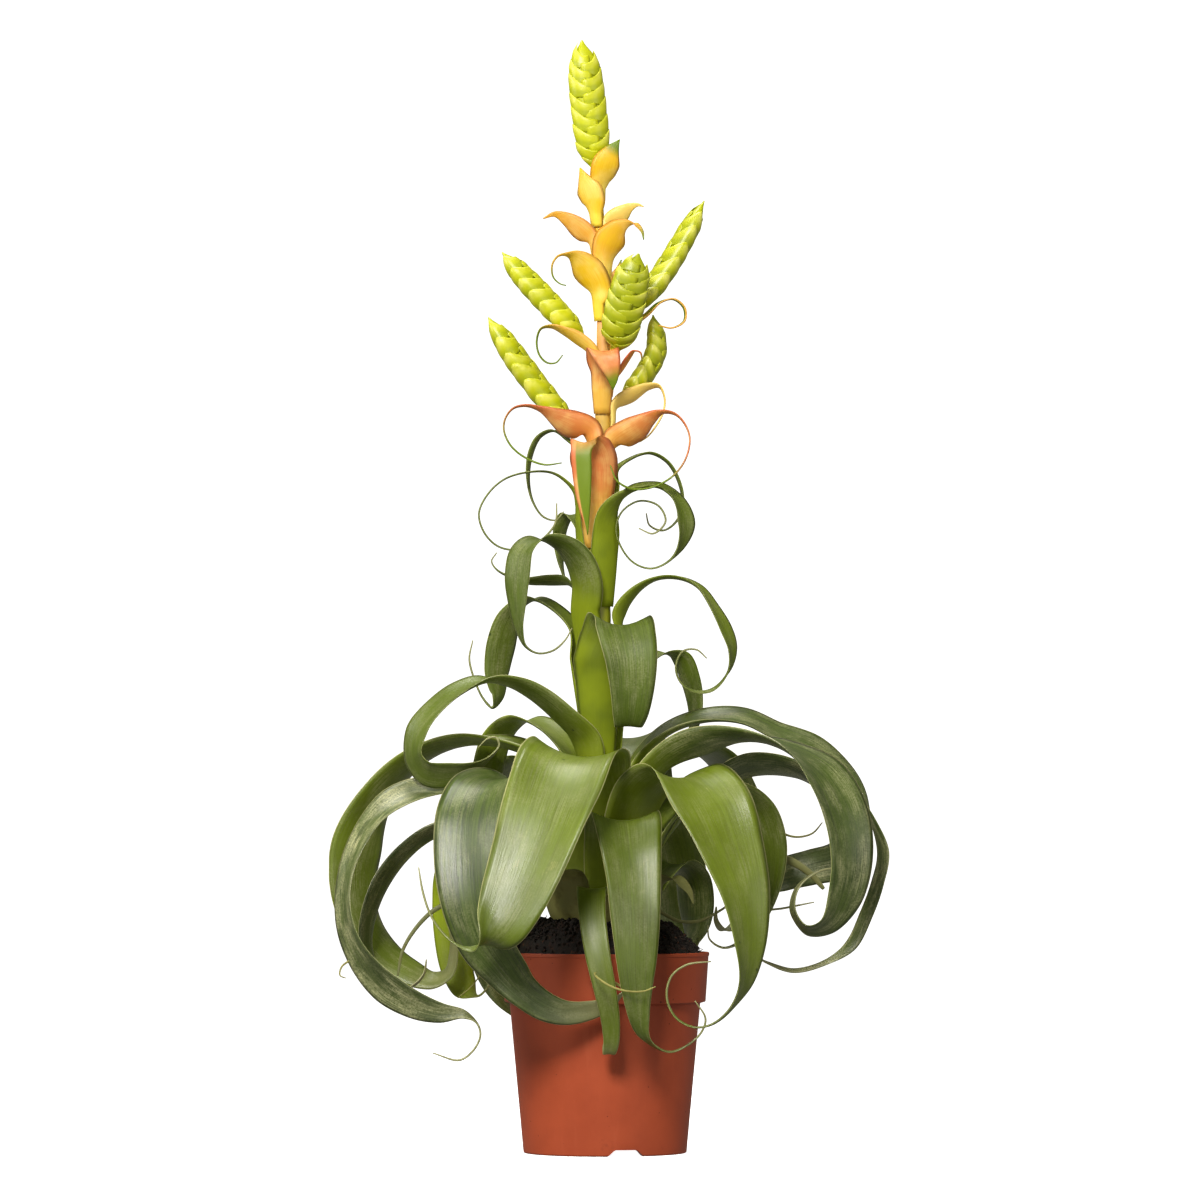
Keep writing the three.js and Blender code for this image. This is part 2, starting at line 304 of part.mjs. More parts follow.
const BRACTS = [
  // Front sheath whose end folds forward and hangs as a green strap
  { azimuth: 262, root: 350, throat: 376, line: [
    [-6, -12, 388, 13.5], [-7, -14, 399, 15], [-9, -17, 407, 13], [-12, -20.5, 410, 9],
    [-13.5, -23, 405.5, 6.3],
    [-13.3, -23.6, 394, 5.8], [-12.6, -23.3, 382, 4.8], [-11.5, -22.3, 370, 3], [-10.5, -21, 362, 1.8],
    [-10, -20.5, 357, 0.9]] },
  // Left, large, orange
  { azimuth: 200, root: 392, throat: 410, line: [
    [-11, -6, 417, 10, 0.3, -0.55, 0.8], [-20, -8.5, 421, 9.5, 0.2, -0.35, 0.92],
    [-29, -10.5, 425.5, 6, 0.2, -0.35, 0.92], [-38, -11.5, 430, 3.6, 0.1, -0.9, 0.3],
    [-46, -12, 432, 2.8], [-53, -12, 430.5, 2.5], [-57.5, -12, 425, 2.3, 0, -1, 0],
    [-58.5, -12, 418, 2], [-54.5, -12, 409, 1.8], [-46, -12, 402, 1.6], [-35, -12, 398, 1.3],
    [-25, -12, 399, 0.9]] },
  // Right, large, orange
  { azimuth: 340, root: 396, throat: 408, line: [
    [8, -6, 411.5, 10.5, 0.4, 0.6, -0.75], [17, -8.5, 417.5, 9.5, 0.3, 0.4, -0.9],
    [25.5, -10.5, 424, 5.5, 0.2, 0.4, -0.9], [33, -12, 428, 3.4, 0.1, 0.9, -0.3],
    [40.5, -12.5, 427, 2.8], [46, -13, 421.5, 2.5], [49, -13.5, 413, 2.2, 0, 1, 0],
    [46.5, -14.5, 401, 1.9], [39, -16.5, 391, 1.6], [27, -19.5, 384.5, 1.4], [15.5, -22, 383.5, 1.2],
    [7, -24, 388, 1], [3, -24.5, 397, 0.8]] },
  // Right, yellow with an orange tip
  { azimuth: 15, root: 410, throat: 424, line: [
    [7, 2, 432, 8], [16, 3.5, 438, 7.2, 0.2, 0.7, -0.6], [25, 4.5, 443.5, 4.6], [31.5, 5, 444, 3.8],
    [34.5, 5, 438, 3.4, 0, 1, 0], [34, 5, 430, 2.6], [30, 5, 422, 2], [25, 5, 415.5, 1.5],
    [20, 5, 412, 1]] },
  // Front, olive and orange, folded over
  { azimuth: 264, root: 428, throat: 443, line: [
    [-1.5, -8.8, 451, 8], [-2, -11.5, 458.5, 9.6], [-1.5, -16, 463, 9.6], [0.5, -20.5, 461.5, 8.4],
    [3, -22, 454.5, 6.4], [4.5, -21, 447, 4.2], [4.5, -19, 441, 1.4]] },
  // Right front, small and red
  { azimuth: 345, root: 438, throat: 447, line: [
    [10.3, -2.2, 454, 5], [14, -5.5, 460, 5.5], [17, -8.5, 464, 4], [20.5, -10, 463, 2.4],
    [21.5, -10, 458, 1]] },
  // Left, yellow, with a ringed tail
  { azimuth: 202, root: 444, throat: 456, line: [
    [-9, -5, 463.5, 7.5], [-16, -6, 470, 7.5, 0.2, -0.8, 0.45], [-24, -6, 475, 6], [-31, -6.5, 478, 4.8],
    [-37, -6.5, 477, 4, 0, -1, 0], [-39.5, -6.5, 470, 3], [-38, -6.5, 462, 2.2],
    [-33.5, -6.5, 457.5, 1.6], [-28.5, -6.5, 457.5, 1.3], [-24.5, -6.5, 462, 1]] },
  // Right, thin, with a ringed tail
  { azimuth: 22, root: 452, throat: 464, line: [
    [8, 2, 471, 6], [16, 3, 478.5, 5.5], [25, 3.5, 486, 5], [32, 4, 493, 3.6], [40, 4, 495, 2.6],
    [46, 4, 490, 2], [46, 4, 482.5, 1.5], [39, 4, 478.5, 1.2], [31, 4, 480, 0.8]] },
  // Left, large, gold and orange
  { azimuth: 218, root: 482, throat: 492, line: [
    [-5, -5, 500, 9.5, 0.85, -0.5, 0.1], [-9.5, -7.5, 509, 10.5, 0.9, -0.3, 0.3],
    [-15, -9.5, 516, 7.5, 0.9, -0.3, 0.3], [-21, -10.5, 519.5, 4.5],
    [-27, -11, 519, 3, 0, -1, 0], [-30.5, -11, 514, 2.2], [-30, -11, 507, 1.6], [-26, -11, 503, 1.2],
    [-22.5, -11, 502, 0.8]] },
  // Right behind, small and pale
  { azimuth: 35, root: 492, throat: 501, line: [
    [5, 4, 508, 4.5], [8, 6, 514, 3.2], [9.5, 7.5, 518.5, 1.2]] },
  // Right, gold
  { azimuth: 300, root: 504, throat: 512, line: [
    [0.5, -5.5, 520, 8.5], [3, -7.5, 528, 10, 0.95, 0.2, -0.2], [7.5, -9, 535, 6.5], [13, -9.5, 538, 3],
    [18, -10, 537.5, 2], [21.5, -10, 533.5, 1.4], [22.5, -10, 528.5, 0.8]] },
  // Left, orange-pink
  { azimuth: 190, root: 514, throat: 522, line: [
    [-9, -2, 529, 7, 0.15, -0.6, 0.75], [-14, -3, 534.5, 7, 0.15, -0.4, 0.9],
    [-22, -4, 541, 4.5, 0.15, -0.4, 0.9], [-29, -4, 544, 2.4], [-36, -4, 541.5, 1]] },
  // Right, yellow
  { azimuth: 350, root: 526, throat: 533, line: [
    [4, -2, 539.5, 6.5, 0.15, 0.7, -0.7], [9, -3, 543.5, 6, 0.15, 0.4, -0.9],
    [14.5, -3.5, 548, 3.6, 0.15, 0.4, -0.9], [19, -3.5, 549.5, 1.8],
    [22.5, -3.5, 548.5, 0.9]] },
  // Left front, gold, closed
  { azimuth: 235, root: 537, throat: 545, line: [
    [-7.5, -5.6, 551, 8, 0.9, -0.4, 0], [-9.5, -6.2, 557.5, 8.5], [-12, -6, 564, 5.5],
    [-14.5, -5.5, 571, 1.2]] },
  // Right front, under the top spike
  { azimuth: 305, root: 552, throat: 559, line: [
    [-1, -7.2, 565, 8, 0.95, 0.2, 0], [0.5, -9.8, 571.5, 8.5], [3.5, -10.4, 579, 6.5],
    [8.5, -9.6, 587, 1]] },
];

// Outline of a spike from its foot to its tip, as a share of its half breadth and half thickness
const SPIKE_OUTLINE = [
  [0, 0.24], [0.06, 0.6], [0.14, 0.9], [0.3, 1], [0.6, 0.98], [0.8, 0.82], [0.92, 0.52], [1, 0.12],
];
// Scales, in scale lengths along the spike and as a share of its outline
const SCALE = {
  topClear: 0.75,
  first: 0.1,
  sweep: 0.55,
  lip: {
    own: { size: 1, forward: 0 },
    seam: { size: 0.97, forward: 0 },
    other: { size: 0.92, forward: 0 },
  },
  nook: {
    own: { size: 0.86, forward: -0.1 },
    seam: { size: 0.88, forward: -0.06 },
    other: { size: 0.95, forward: 0.1 },
  },
};

// Flower spikes: middle line from the stalk to the tip, the broad direction, half breadth and
// half thickness, and scales on each side
const SPIKES = [
  { line: [[-5.5, 0, 568.6], [-6.8, 0, 583], [-9, 0, 603], [-11.3, 0, 624], [-13.5, 0, 646]],
    broad: [1, 0.15, 0], halfBreadth: 10.5, halfThickness: 7, scales: 7, pedicel: 0.04 },
  { line: [[3.6, 3, 474], [13, 8, 488], [28, 13, 503], [44, 17, 528], [58, 19, 554]],
    broad: [0.35, -0.9, 0], halfBreadth: 9.5, halfThickness: 6.7, scales: 7, pedicel: 0.16 },
  { line: [[-5, 4.2, 465], [-15, 7, 475], [-26, 8, 486], [-43, 9, 504], [-60, 9, 523]],
    broad: [0.3, 0.9, 0.2], halfBreadth: 9.5, halfThickness: 7.1, scales: 7, pedicel: 0.15 },
  { line: [[-6.5, 2.9, 417], [-17, 7, 421.5], [-28, 9, 431], [-46, 9.5, 453], [-68, 8, 485]],
    broad: [0.3, 0.9, 0.2], halfBreadth: 9.5, halfThickness: 7.2, scales: 7, pedicel: 0.15 },
  { line: [[1.6, -5.2, 456], [7, -9, 467], [9.5, -14, 480], [14, -17, 500], [19.5, -18, 520]],
    broad: [1, 0.1, -0.2], halfBreadth: 11.2, halfThickness: 6.5, scales: 7, pedicel: 0.16 },
  { line: [[3, 3.8, 434], [13, 10, 441], [23, 14, 452], [30, 15, 467], [28, 14, 487]],
    broad: [0.35, 0.9, 0], halfBreadth: 9, halfThickness: 6, scales: 6, pedicel: 0.15 },
];

function vector(values) {
  return new THREE.Vector3(values[0], values[1], values[2]);
}

// Value at a place in a list of [place, value] pairs, straight between them
function between(pairs, place) {
  if (place <= pairs[0][0]) {
    return pairs[0][1];
  }
  for (let i = 1; i < pairs.length; i += 1) {
    const [end, value] = pairs[i];
    const [start, before] = pairs[i - 1];
    if (place <= end) {
      return before + ((value - before) * (place - start)) / (end - start);
    }
  }
  return pairs[pairs.length - 1][1];
}

// Sheath profiles as [radius, height, lean of the axis]: round the bulb, or up the stalk
function bulbProfile(leaf) {
  const radius = BULB.outerRadius - leaf.layer * BULB.pitch;
  const start = Math.asin((BULB.stemRadius + GAP + SHEATH_THICKNESS / 2) / radius);
  const end = Math.acos(Math.max((BULB.height - leaf.throat) / radius, 0));
  const steps = Math.max(3, Math.round((end - start) / SHEATH_ARC_STEP));
  const profile = [];
  for (let i = 0; i <= steps; i += 1) {
    const angle = start + ((end - start) * i) / steps;
    profile.push([radius * Math.sin(angle), BULB.height - radius * Math.cos(angle), 0]);
  }
  if (leaf.throat > BULB.height) {
    profile.push([radius, leaf.throat, 0]);
  }
  return profile;
}

function stalkProfile(leaf) {
  const steps = Math.max(2, Math.round((leaf.throat - leaf.root) / STALK_SHEATH_STEP));
  const clear = GAP + STALK_SHEATH_CLEAR + STALK_SHEATH_THICKNESS / 2;
  const profile = [];
  for (let i = 0; i <= steps; i += 1) {
    const rise = ((leaf.throat - leaf.root) * i) / steps;
    const stem = stemAt(leaf.root + rise);
    const radius = stem.radius + clear + STALK_SHEATH_FLARE * rise;
    profile.push([radius, leaf.root + rise, stem.x]);
  }
  return profile;
}

// Rings of a leaf: middle point, width axis, depth axis, arc radius and half width
function sheathRings(leaf, profile, halfAngle, thickness) {
  const azimuth = leaf.azimuth * DEG;
  const outward = new THREE.Vector3(Math.cos(azimuth), Math.sin(azimuth), 0);
  const across = new THREE.Vector3(-Math.sin(azimuth), Math.cos(azimuth), 0);
  const last = profile.length - 1;
  const throatAngle = Math.min(halfAngle, leaf.line[0][3] / profile[last][0]);
  return profile.map(([radius, height, lean], i) => {
    const ahead = profile[Math.min(i + 1, last)];
    const behind = profile[Math.max(i - 1, 0)];
    const slope = new THREE.Vector2(ahead[0] - behind[0], ahead[1] - behind[1]).normalize();
    const angle = halfAngle + (throatAngle - halfAngle) * (i / last);
    return {
      middle: outward.clone().multiplyScalar(radius).add(new THREE.Vector3(lean, 0, height)),
      across,
      depth: outward.clone().negate(),
      arc: angle,
      halfWidth: angle * radius,
      thickness,
      normalScale: slope.y,
      normalLift: UP.clone().multiplyScalar(slope.x),
    };
  });
}

// Places along the blade where rings stand: closer together where it curls
function bladeStations(curve) {
  const samples = 12 * (curve.points.length - 1);
  const cost = [0];
  let before = curve.getTangent(0);
  for (let i = 1; i <= samples; i += 1) {
    const tangent = curve.getTangent(i / samples);
    const step = curve.getPoint(i / samples).distanceTo(curve.getPoint((i - 1) / samples));
    cost.push(cost[i - 1] + step / LENGTH_PER_RING + tangent.angleTo(before) / TURN_PER_RING);
    before = tangent;
  }
  const count = Math.ceil(cost[samples]);
  const stations = [];
  let sample = 0;
  for (let ring = 1; ring <= count; ring += 1) {
    const wanted = (cost[samples] * ring) / count;
    while (sample < samples && cost[sample + 1] < wanted) {
      sample += 1;
    }
    const next = Math.min(sample + 1, samples);
    const gap = cost[next] - cost[sample];
    const part = gap > 0 ? (wanted - cost[sample]) / gap : 0;
    stations.push(Math.min((sample + part) / samples, 1));
  }
  return stations;
}

function bladeRings(leaf, throat, thickness) {
  const first = throat.middle;
  const points = [first.clone(), ...leaf.line.map(vector)];
  const curve = new THREE.CatmullRomCurve3(points, false, 'centripetal');
  const last = points.length - 1;
  const widths = [[0, throat.halfWidth], ...leaf.line.map((row, i) => [i + 1, row[3]])];
  const turns = [[0, throat.across.toArray()]];
  leaf.line.forEach((row, i) => {
    if (row.length > 4) {
      turns.push([i + 1, row.slice(4)]);
    }
  });
  return bladeStations(curve).map((station) => {
    const place = station * last;
    const tangent = curve.getTangent(station);
    const wanted = [0, 1, 2].map((axis) => between(turns.map(([at, v]) => [at, v[axis]]), place));
    const across = vector(wanted);
    across.addScaledVector(tangent, -across.dot(tangent)).normalize();
    const arc = between([[0, throat.arc], ...CUP_AFTER_SHEATH], station);
    return {
      middle: curve.getPoint(station),
      across,
      depth: tangent.clone().cross(across),
      arc,
      halfWidth: between(widths, place),
      thickness: between([[0, thickness], [0.5, thickness], [1, TAIL_THICKNESS]], station),
      normalScale: 1,
      normalLift: new THREE.Vector3(),
    };
  });
}

// The corners of a ring: left edge, inner face, right edge, outer face
function ringCorners(ring, columns) {
  const radius = ring.halfWidth / ring.arc;
  const places = Array.from({ length: columns }, (_, column) => {
    const angle = ((2 * column) / (columns - 1) - 1) * ring.arc;
    const point = ring.middle.clone();
    point.addScaledVector(ring.across, radius * Math.sin(angle));
    point.addScaledVector(ring.depth, radius * (1 - Math.cos(angle)));
    const normal = ring.depth.clone().multiplyScalar(Math.cos(angle));
    normal.addScaledVector(ring.across, -Math.sin(angle)).multiplyScalar(ring.normalScale);
    normal.add(ring.normalLift).normalize();
    return { point, normal };
  });
  const half = ring.thickness / 2;
  const offset = (place, side) => place.point.clone().addScaledVector(place.normal, side * half);
  const inner = places.slice(1, -1);
  return [
    places[0].point, ...inner.map((place) => offset(place, 1)),
    places[columns - 1].point, ...inner.reverse().map((place) => offset(place, -1)),
  ];
}

// Closed ribbon through the rings, both faces split along the same diagonals
function ribbonGeometry(rings, columns) {
  const corners = rings.flatMap((ring) => ringCorners(ring, columns));
  const around = 2 * columns - 2;
  const end = rings.length - 1;
  const faces = [];
  const at = (ring, corner) => ring * around + (corner % around);
  for (let k = 0; k < columns - 1; k += 1) {
    const [c, d] = [around - k, around - k - 1];
    for (let ring = 0; ring < end; ring += 1) {
      faces.push([at(ring, k), at(ring, k + 1), at(ring + 1, k + 1)]);
      faces.push([at(ring, k), at(ring + 1, k + 1), at(ring + 1, k)]);
      faces.push([at(ring, c), at(ring + 1, d), at(ring, d)]);
      faces.push([at(ring, c), at(ring + 1, c), at(ring + 1, d)]);
    }
    for (const [ring, turn] of [[0, true], [end, false]]) {
      const [p, q, r, s] = [at(ring, k), at(ring, k + 1), at(ring, d), at(ring, c)];
      const cap = [[p, q, r], [p, r, s]].filter((face) => new Set(face).size === 3);
      faces.push(...cap.map((face) => (turn ? face.reverse() : face)));
    }
  }
  return closedGeometry(corners, faces);
}

function closedGeometry(corners, faces) {
  const geometry = new THREE.BufferGeometry().setFromPoints(corners);
  geometry.setIndex(faces.flat());
  return facingOut(geometry);
}

// Turns a closed mesh's faces outwards
function facingOut(geometry) {
  const position = geometry.attributes.position;
  const index = geometry.index.array;
  const [a, b, c] = [new THREE.Vector3(), new THREE.Vector3(), new THREE.Vector3()];
  let volume = 0;
  for (let i = 0; i < index.length; i += 3) {
    a.fromBufferAttribute(position, index[i]);
    b.fromBufferAttribute(position, index[i + 1]);
    c.fromBufferAttribute(position, index[i + 2]);
    volume += a.dot(b.cross(c));
  }
  if (volume < 0) {
    for (let i = 0; i < index.length; i += 3) {
      [index[i + 1], index[i + 2]] = [index[i + 2], index[i + 1]];
    }
  }
  return geometry;
}

// Between a BufferGeometry and a solid that can be joined or cut
function toSolid(geometry) {
  const merged = mergeVertices(geometry, WELD);
  return new wasm.Manifold(new wasm.Mesh({
    numProp: 3,
    vertProperties: new Float32Array(merged.attributes.position.array),
    triVerts: new Uint32Array(merged.index.array),
  }));
}

function fromSolid(solid) {
  const mesh = solid.getMesh();
  const geometry = new THREE.BufferGeometry();
  geometry.setAttribute('position', new THREE.BufferAttribute(new Float32Array(mesh.vertProperties), 3));
  geometry.setIndex(Array.from(mesh.triVerts));
  return geometry;
}

// A round piece from [radius, height] corners, turned about the vertical axis
function turned(profile, sides) {
  const points = profile.map(([radius, height]) => new THREE.Vector2(radius, height));
  const geometry = new THREE.LatheGeometry(points, sides);
  geometry.rotateX(Math.PI / 2);
  geometry.deleteAttribute('normal');
  geometry.deleteAttribute('uv');
  return facingOut(mergeVertices(geometry, WELD));
}

// Inner radius of the pot's wall at a height
function potInside(height) {
  const body = POT.bandBottom - POT.bandStep;
  if (height <= body) {
    const t = height / body;
    return POT.footRadius + (POT.bodyTopRadius - POT.footRadius) * t - POT.wall;
  }
  const t = (height - POT.bandBottom) / (POT.height - POT.bandBottom);
  return POT.bandRadius + (POT.rimRadius - POT.bandRadius) * Math.max(t, 0) - POT.wall;
}

// A bare, welded solid for cutting
function cutter(geometry) {
  geometry.deleteAttribute('normal');
  geometry.deleteAttribute('uv');
  return toSolid(facingOut(mergeVertices(geometry, WELD)));
}

function potGeometry() {
  const foot = POT.footHeight;
  const floor = foot + POT.floorThickness;
  const ring = POT.footRadius - POT.footRingWidth;
  const edge = POT.footEdge;
  const bead = POT.height - POT.beadHeight;
  const rim = POT.rimRadius + POT.beadProud;
  const profile = [
    [0, foot], [ring, foot], [ring + edge / 2, 0], [POT.footRadius - edge, 0], [POT.footRadius, edge],
    [POT.bodyTopRadius, POT.bandBottom - POT.bandStep], [POT.bandRadius, POT.bandBottom],
    [POT.rimRadius, bead], [rim, bead + POT.beadProud], [rim, POT.height - POT.beadProud],
    [rim - POT.beadProud, POT.height], [POT.rimRadius - POT.wall, POT.height],
    [potInside(POT.bandBottom + POT.bandStep), POT.bandBottom + POT.bandStep],
    [potInside(POT.bandBottom - POT.bandStep), POT.bandBottom],
    [potInside(floor), floor], [0, floor],
  ];
  let solid = toSolid(turned(profile, POT.sides));
  const half = POT.notchWidth / 2;
  const slope = POT.notchSlope;
  const top = foot - POT.notchClear;
  const notch = new THREE.Shape([
    new THREE.Vector2(-half, -1), new THREE.Vector2(half, -1),
    new THREE.Vector2(half - slope, top), new THREE.Vector2(-half + slope, top),
  ]);
  for (const azimuth of POT.notchAzimuths) {
    const block = new THREE.ExtrudeGeometry(notch, { depth: 3 * POT.footRingWidth, bevelEnabled: false });
    block.rotateX(Math.PI / 2);
    block.translate(0, POT.footRadius + POT.footRingWidth, 0);
    block.rotateZ((azimuth - 90) * DEG);
    solid = solid.subtract(cutter(block));
  }
  for (let i = 0; i < POT.drainCount; i += 1) {
    const length = 4 * POT.floorThickness;
    const hole = new THREE.CylinderGeometry(POT.drainRadius, POT.drainRadius, length, POT.drainSides);
    hole.rotateX(Math.PI / 2);
    hole.translate(POT.drainCircle, 0, foot + POT.floorThickness / 2);
    hole.rotateZ((2 * Math.PI * i) / POT.drainCount);
    solid = solid.subtract(cutter(hole));
  }
  return fromSolid(solid);
}

// Potting peat: a mound with a bowl for the bulb and a hole for the stem
function soilGeometry() {
  const floor = POT.footHeight + POT.floorThickness + GAP;
  const bowl = BULB.outerRadius + SHEATH_THICKNESS / 2 + SOIL.bowlClear;
  const hole = BULB.stemRadius + GAP;
  const bottom = STEM_LINE[0][0] - GAP;
  const inBowl = (radius) => [radius, BULB.height - Math.sqrt(bowl * bowl - radius * radius)];
  const atWall = (height) => [potInside(height) - SOIL.wallClear, height];
  const profile = [
    [0, floor], atWall(floor), atWall(POT.bandBottom - 2 * POT.bandStep),
    [potInside(POT.bandBottom - 2 * POT.bandStep) - SOIL.wallClear, POT.bandBottom + 2 * POT.bandStep],
    atWall(SOIL.wallTop), ...SOIL.mound, ...SOIL.bowlRadii.map(inBowl), inBowl(hole),
    [hole, bottom], [0, bottom],
  ];
  const geometry = turned(profile, POT.sides);
  const position = geometry.attributes.position;
  for (let i = 0; i < position.count; i += 1) {
    const [x, y, z] = [position.getX(i), position.getY(i), position.getZ(i)];
    if (z > SOIL.wallTop + 3 && Math.hypot(x, y) > SOIL.bowlRadii[0] + 2) {
      const crumb = Math.sin(x * 0.9 + y * 0.37) * Math.cos(y * 0.8 - x * 0.21);
      position.setZ(i, z + SOIL.crumb * crumb - SOIL.tilt * x);
    }
  }
  return geometry;
}

// An ellipse of corners round a point
function ellipse(middle, wide, deep, sides) {
  return Array.from({ length: sides }, (_, corner) => {
    const angle = (2 * Math.PI * corner) / sides;
    return middle.clone().addScaledVector(wide, Math.cos(angle)).addScaledVector(deep, Math.sin(angle));
  });
}

// Closed body through rings of corners
function loft(rings) {
  const sides = rings[0].length;
  const faces = [];
  for (let row = 0; row < rings.length - 1; row += 1) {
    for (let i = 0; i < sides; i += 1) {
      const [a, b] = [row * sides + i, row * sides + ((i + 1) % sides)];
      faces.push([a, b, b + sides], [a, b + sides, a + sides]);
    }
  }
  const top = (rings.length - 1) * sides;
  for (let i = 1; i < sides - 1; i += 1) {
    faces.push([0, i + 1, i], [top, top + i, top + i + 1]);
  }
  return closedGeometry(rings.flat(), faces);
}

function stemGeometry() {
  return loft(STEM_LINE.map(([height, lean, radius]) => {
    const middle = new THREE.Vector3(lean, 0, height);
    return ellipse(middle, new THREE.Vector3(radius, 0, 0), new THREE.Vector3(0, radius, 0), STEM_SIDES);
  }));
}

// Spike: two ranks of pointed scales that overlap like tiles, all one body. Each ring follows the
// swept-back edge of a scale, first along its lip and then in the nook under the lip.
function spikeGeometry(spike) {
  const curve = new THREE.CatmullRomCurve3(spike.line.map(vector), false, 'centripetal');
  const body = 1 - spike.pedicel;
  const pitch = body / (spike.scales + SCALE.topClear);
  const cornerAt = (place, angle, size) => {
    const t = THREE.MathUtils.clamp(place, 0, 1);
    const tangent = curve.getTangentAt(t);
    const wide = vector(spike.broad);
    wide.addScaledVector(tangent, -wide.dot(tangent)).normalize();
    const outline = between(SPIKE_OUTLINE, (t - spike.pedicel) / body) * size;
    const point = curve.getPointAt(t);
    point.addScaledVector(wide, Math.cos(angle) * spike.halfBreadth * outline);
    return point.addScaledVector(tangent.cross(wide), Math.sin(angle) * spike.halfThickness * outline);
  };
  const ring = (place, shape) => Array.from({ length: SPIKE_SIDES }, (_, corner) => {
    const angle = (2 * Math.PI * corner) / SPIKE_SIDES;
    const { size, forward } = shape(Math.cos(angle));
    return cornerAt(place + pitch * (forward - SCALE.sweep * Math.sin(angle) ** 2), angle, size);
  });
  const plain = (place) => ellipse(
    curve.getPointAt(place),
    cornerAt(place, 0, 1).sub(curve.getPointAt(place)),
    cornerAt(place, Math.PI / 2, 1).sub(curve.getPointAt(place)),
    SPIKE_SIDES,
  );
  const rings = [plain(0), plain(spike.pedicel)];
  for (let half = 1; half <= 2 * spike.scales; half += 1) {
    const side = half % 2 === 0 ? 1 : -1;
    const place = spike.pedicel + pitch * (half / 2 + SCALE.first);
    for (const edge of [SCALE.lip, SCALE.nook]) {
      rings.push(ring(place, (across) => {
        const seam = Math.abs(across) < 0.1;
        return seam ? edge.seam : side * across > 0 ? edge.own : edge.other;
      }));
    }
  }
  rings.push(plain(1));
  return loft(rings);
}

function rosetteLeaf(leaf) {
  const crowded = leaf.layer === CROWDED_SHEATH.layer;
  const halfAngle = crowded ? CROWDED_SHEATH.halfAngle : BULB_SHEATH_HALF_ANGLE;
  const sheath = sheathRings(leaf, bulbProfile(leaf), halfAngle * DEG, SHEATH_THICKNESS);
  const blade = bladeRings(leaf, sheath[sheath.length - 1], BLADE_THICKNESS);
  return ribbonGeometry([...sheath, ...blade], ROSETTE_COLUMNS);
}

function stalkLeaf(leaf) {
  const halfAngle = STALK_SHEATH_HALF_ANGLE * DEG;
  const sheath = sheathRings(leaf, stalkProfile(leaf), halfAngle, STALK_SHEATH_THICKNESS);
  const blade = bladeRings(leaf, sheath[sheath.length - 1], STALK_SHEATH_THICKNESS);
  return ribbonGeometry([...sheath, ...blade], STALK_COLUMNS);
}

const plant = new THREE.Group();

function addPiece(name, geometry, finish) {
  const material = new THREE.MeshStandardMaterial({ ...finish, metalness: 0 });
  const piece = new THREE.Mesh(geometry, material);
  piece.name = name;
  plant.add(piece);
}

function numbered(word, index) {
  return `${word}_${String(index + 1).padStart(2, '0')}`;
}

addPiece('pot', potGeometry(), COLOURS.pot);
addPiece('soil', soilGeometry(), COLOURS.soil);
addPiece('stem', stemGeometry(), COLOURS.stem);
ROSETTE.forEach((leaf, i) => addPiece(numbered('rosette_leaf', i), rosetteLeaf(leaf), COLOURS.leaf));
STALK_LEAVES.forEach((leaf, i) => addPiece(numbered('stalk_leaf', i), stalkLeaf(leaf), COLOURS.stalk_leaf));
BRACTS.forEach((leaf, i) => addPiece(numbered('bract', i), stalkLeaf(leaf), COLOURS.bract));
SPIKES.forEach((spike, i) => addPiece(numbered('flower_spike', i), spikeGeometry(spike), COLOURS.spike));

export default plant;
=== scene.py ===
"""Looks of a flowering air plant in a round plastic pot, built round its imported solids.

Lengths in the classes and tables are millimetres, in the part's own frame: +Z up, the front is -Y.
Meshes are made in metres.
"""

from __future__ import annotations

import logging
import math
from dataclasses import dataclass, field
from enum import Enum
from typing import Any, Iterable, NamedTuple, Sequence

import bpy
import numpy as np
from bpy.types import ID, Material, Mesh, Node, NodeSocket, NodeTree, Object
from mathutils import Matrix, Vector, noise


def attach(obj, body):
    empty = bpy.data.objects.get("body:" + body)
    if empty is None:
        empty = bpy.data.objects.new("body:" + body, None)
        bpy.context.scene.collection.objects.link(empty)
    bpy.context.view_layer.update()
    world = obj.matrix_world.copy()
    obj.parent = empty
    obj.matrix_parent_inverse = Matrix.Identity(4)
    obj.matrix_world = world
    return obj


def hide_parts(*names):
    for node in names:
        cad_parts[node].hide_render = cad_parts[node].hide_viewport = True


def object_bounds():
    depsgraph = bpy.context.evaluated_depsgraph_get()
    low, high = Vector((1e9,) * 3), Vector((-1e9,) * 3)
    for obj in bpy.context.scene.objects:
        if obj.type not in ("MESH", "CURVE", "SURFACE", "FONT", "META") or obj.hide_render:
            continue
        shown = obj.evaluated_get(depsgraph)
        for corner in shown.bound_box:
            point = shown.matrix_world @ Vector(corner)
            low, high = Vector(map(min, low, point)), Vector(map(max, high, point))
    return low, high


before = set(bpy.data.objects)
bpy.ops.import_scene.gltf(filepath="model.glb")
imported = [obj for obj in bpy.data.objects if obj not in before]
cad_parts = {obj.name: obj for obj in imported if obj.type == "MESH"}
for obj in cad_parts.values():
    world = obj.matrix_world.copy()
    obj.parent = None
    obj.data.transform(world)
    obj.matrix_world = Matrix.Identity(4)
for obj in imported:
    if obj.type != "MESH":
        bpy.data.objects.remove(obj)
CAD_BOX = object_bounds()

log = logging.getLogger("plant")

MM = 0.001
BODY = "root"
LEAF_MAP = "leaf"
UV_PER_MM = 0.01
Colour = tuple[float, float, float]
Point = tuple[float, float, float]
Pairs = tuple[tuple[float, float], ...]
Row = tuple[float, ...]
Polygon = tuple[int, ...]


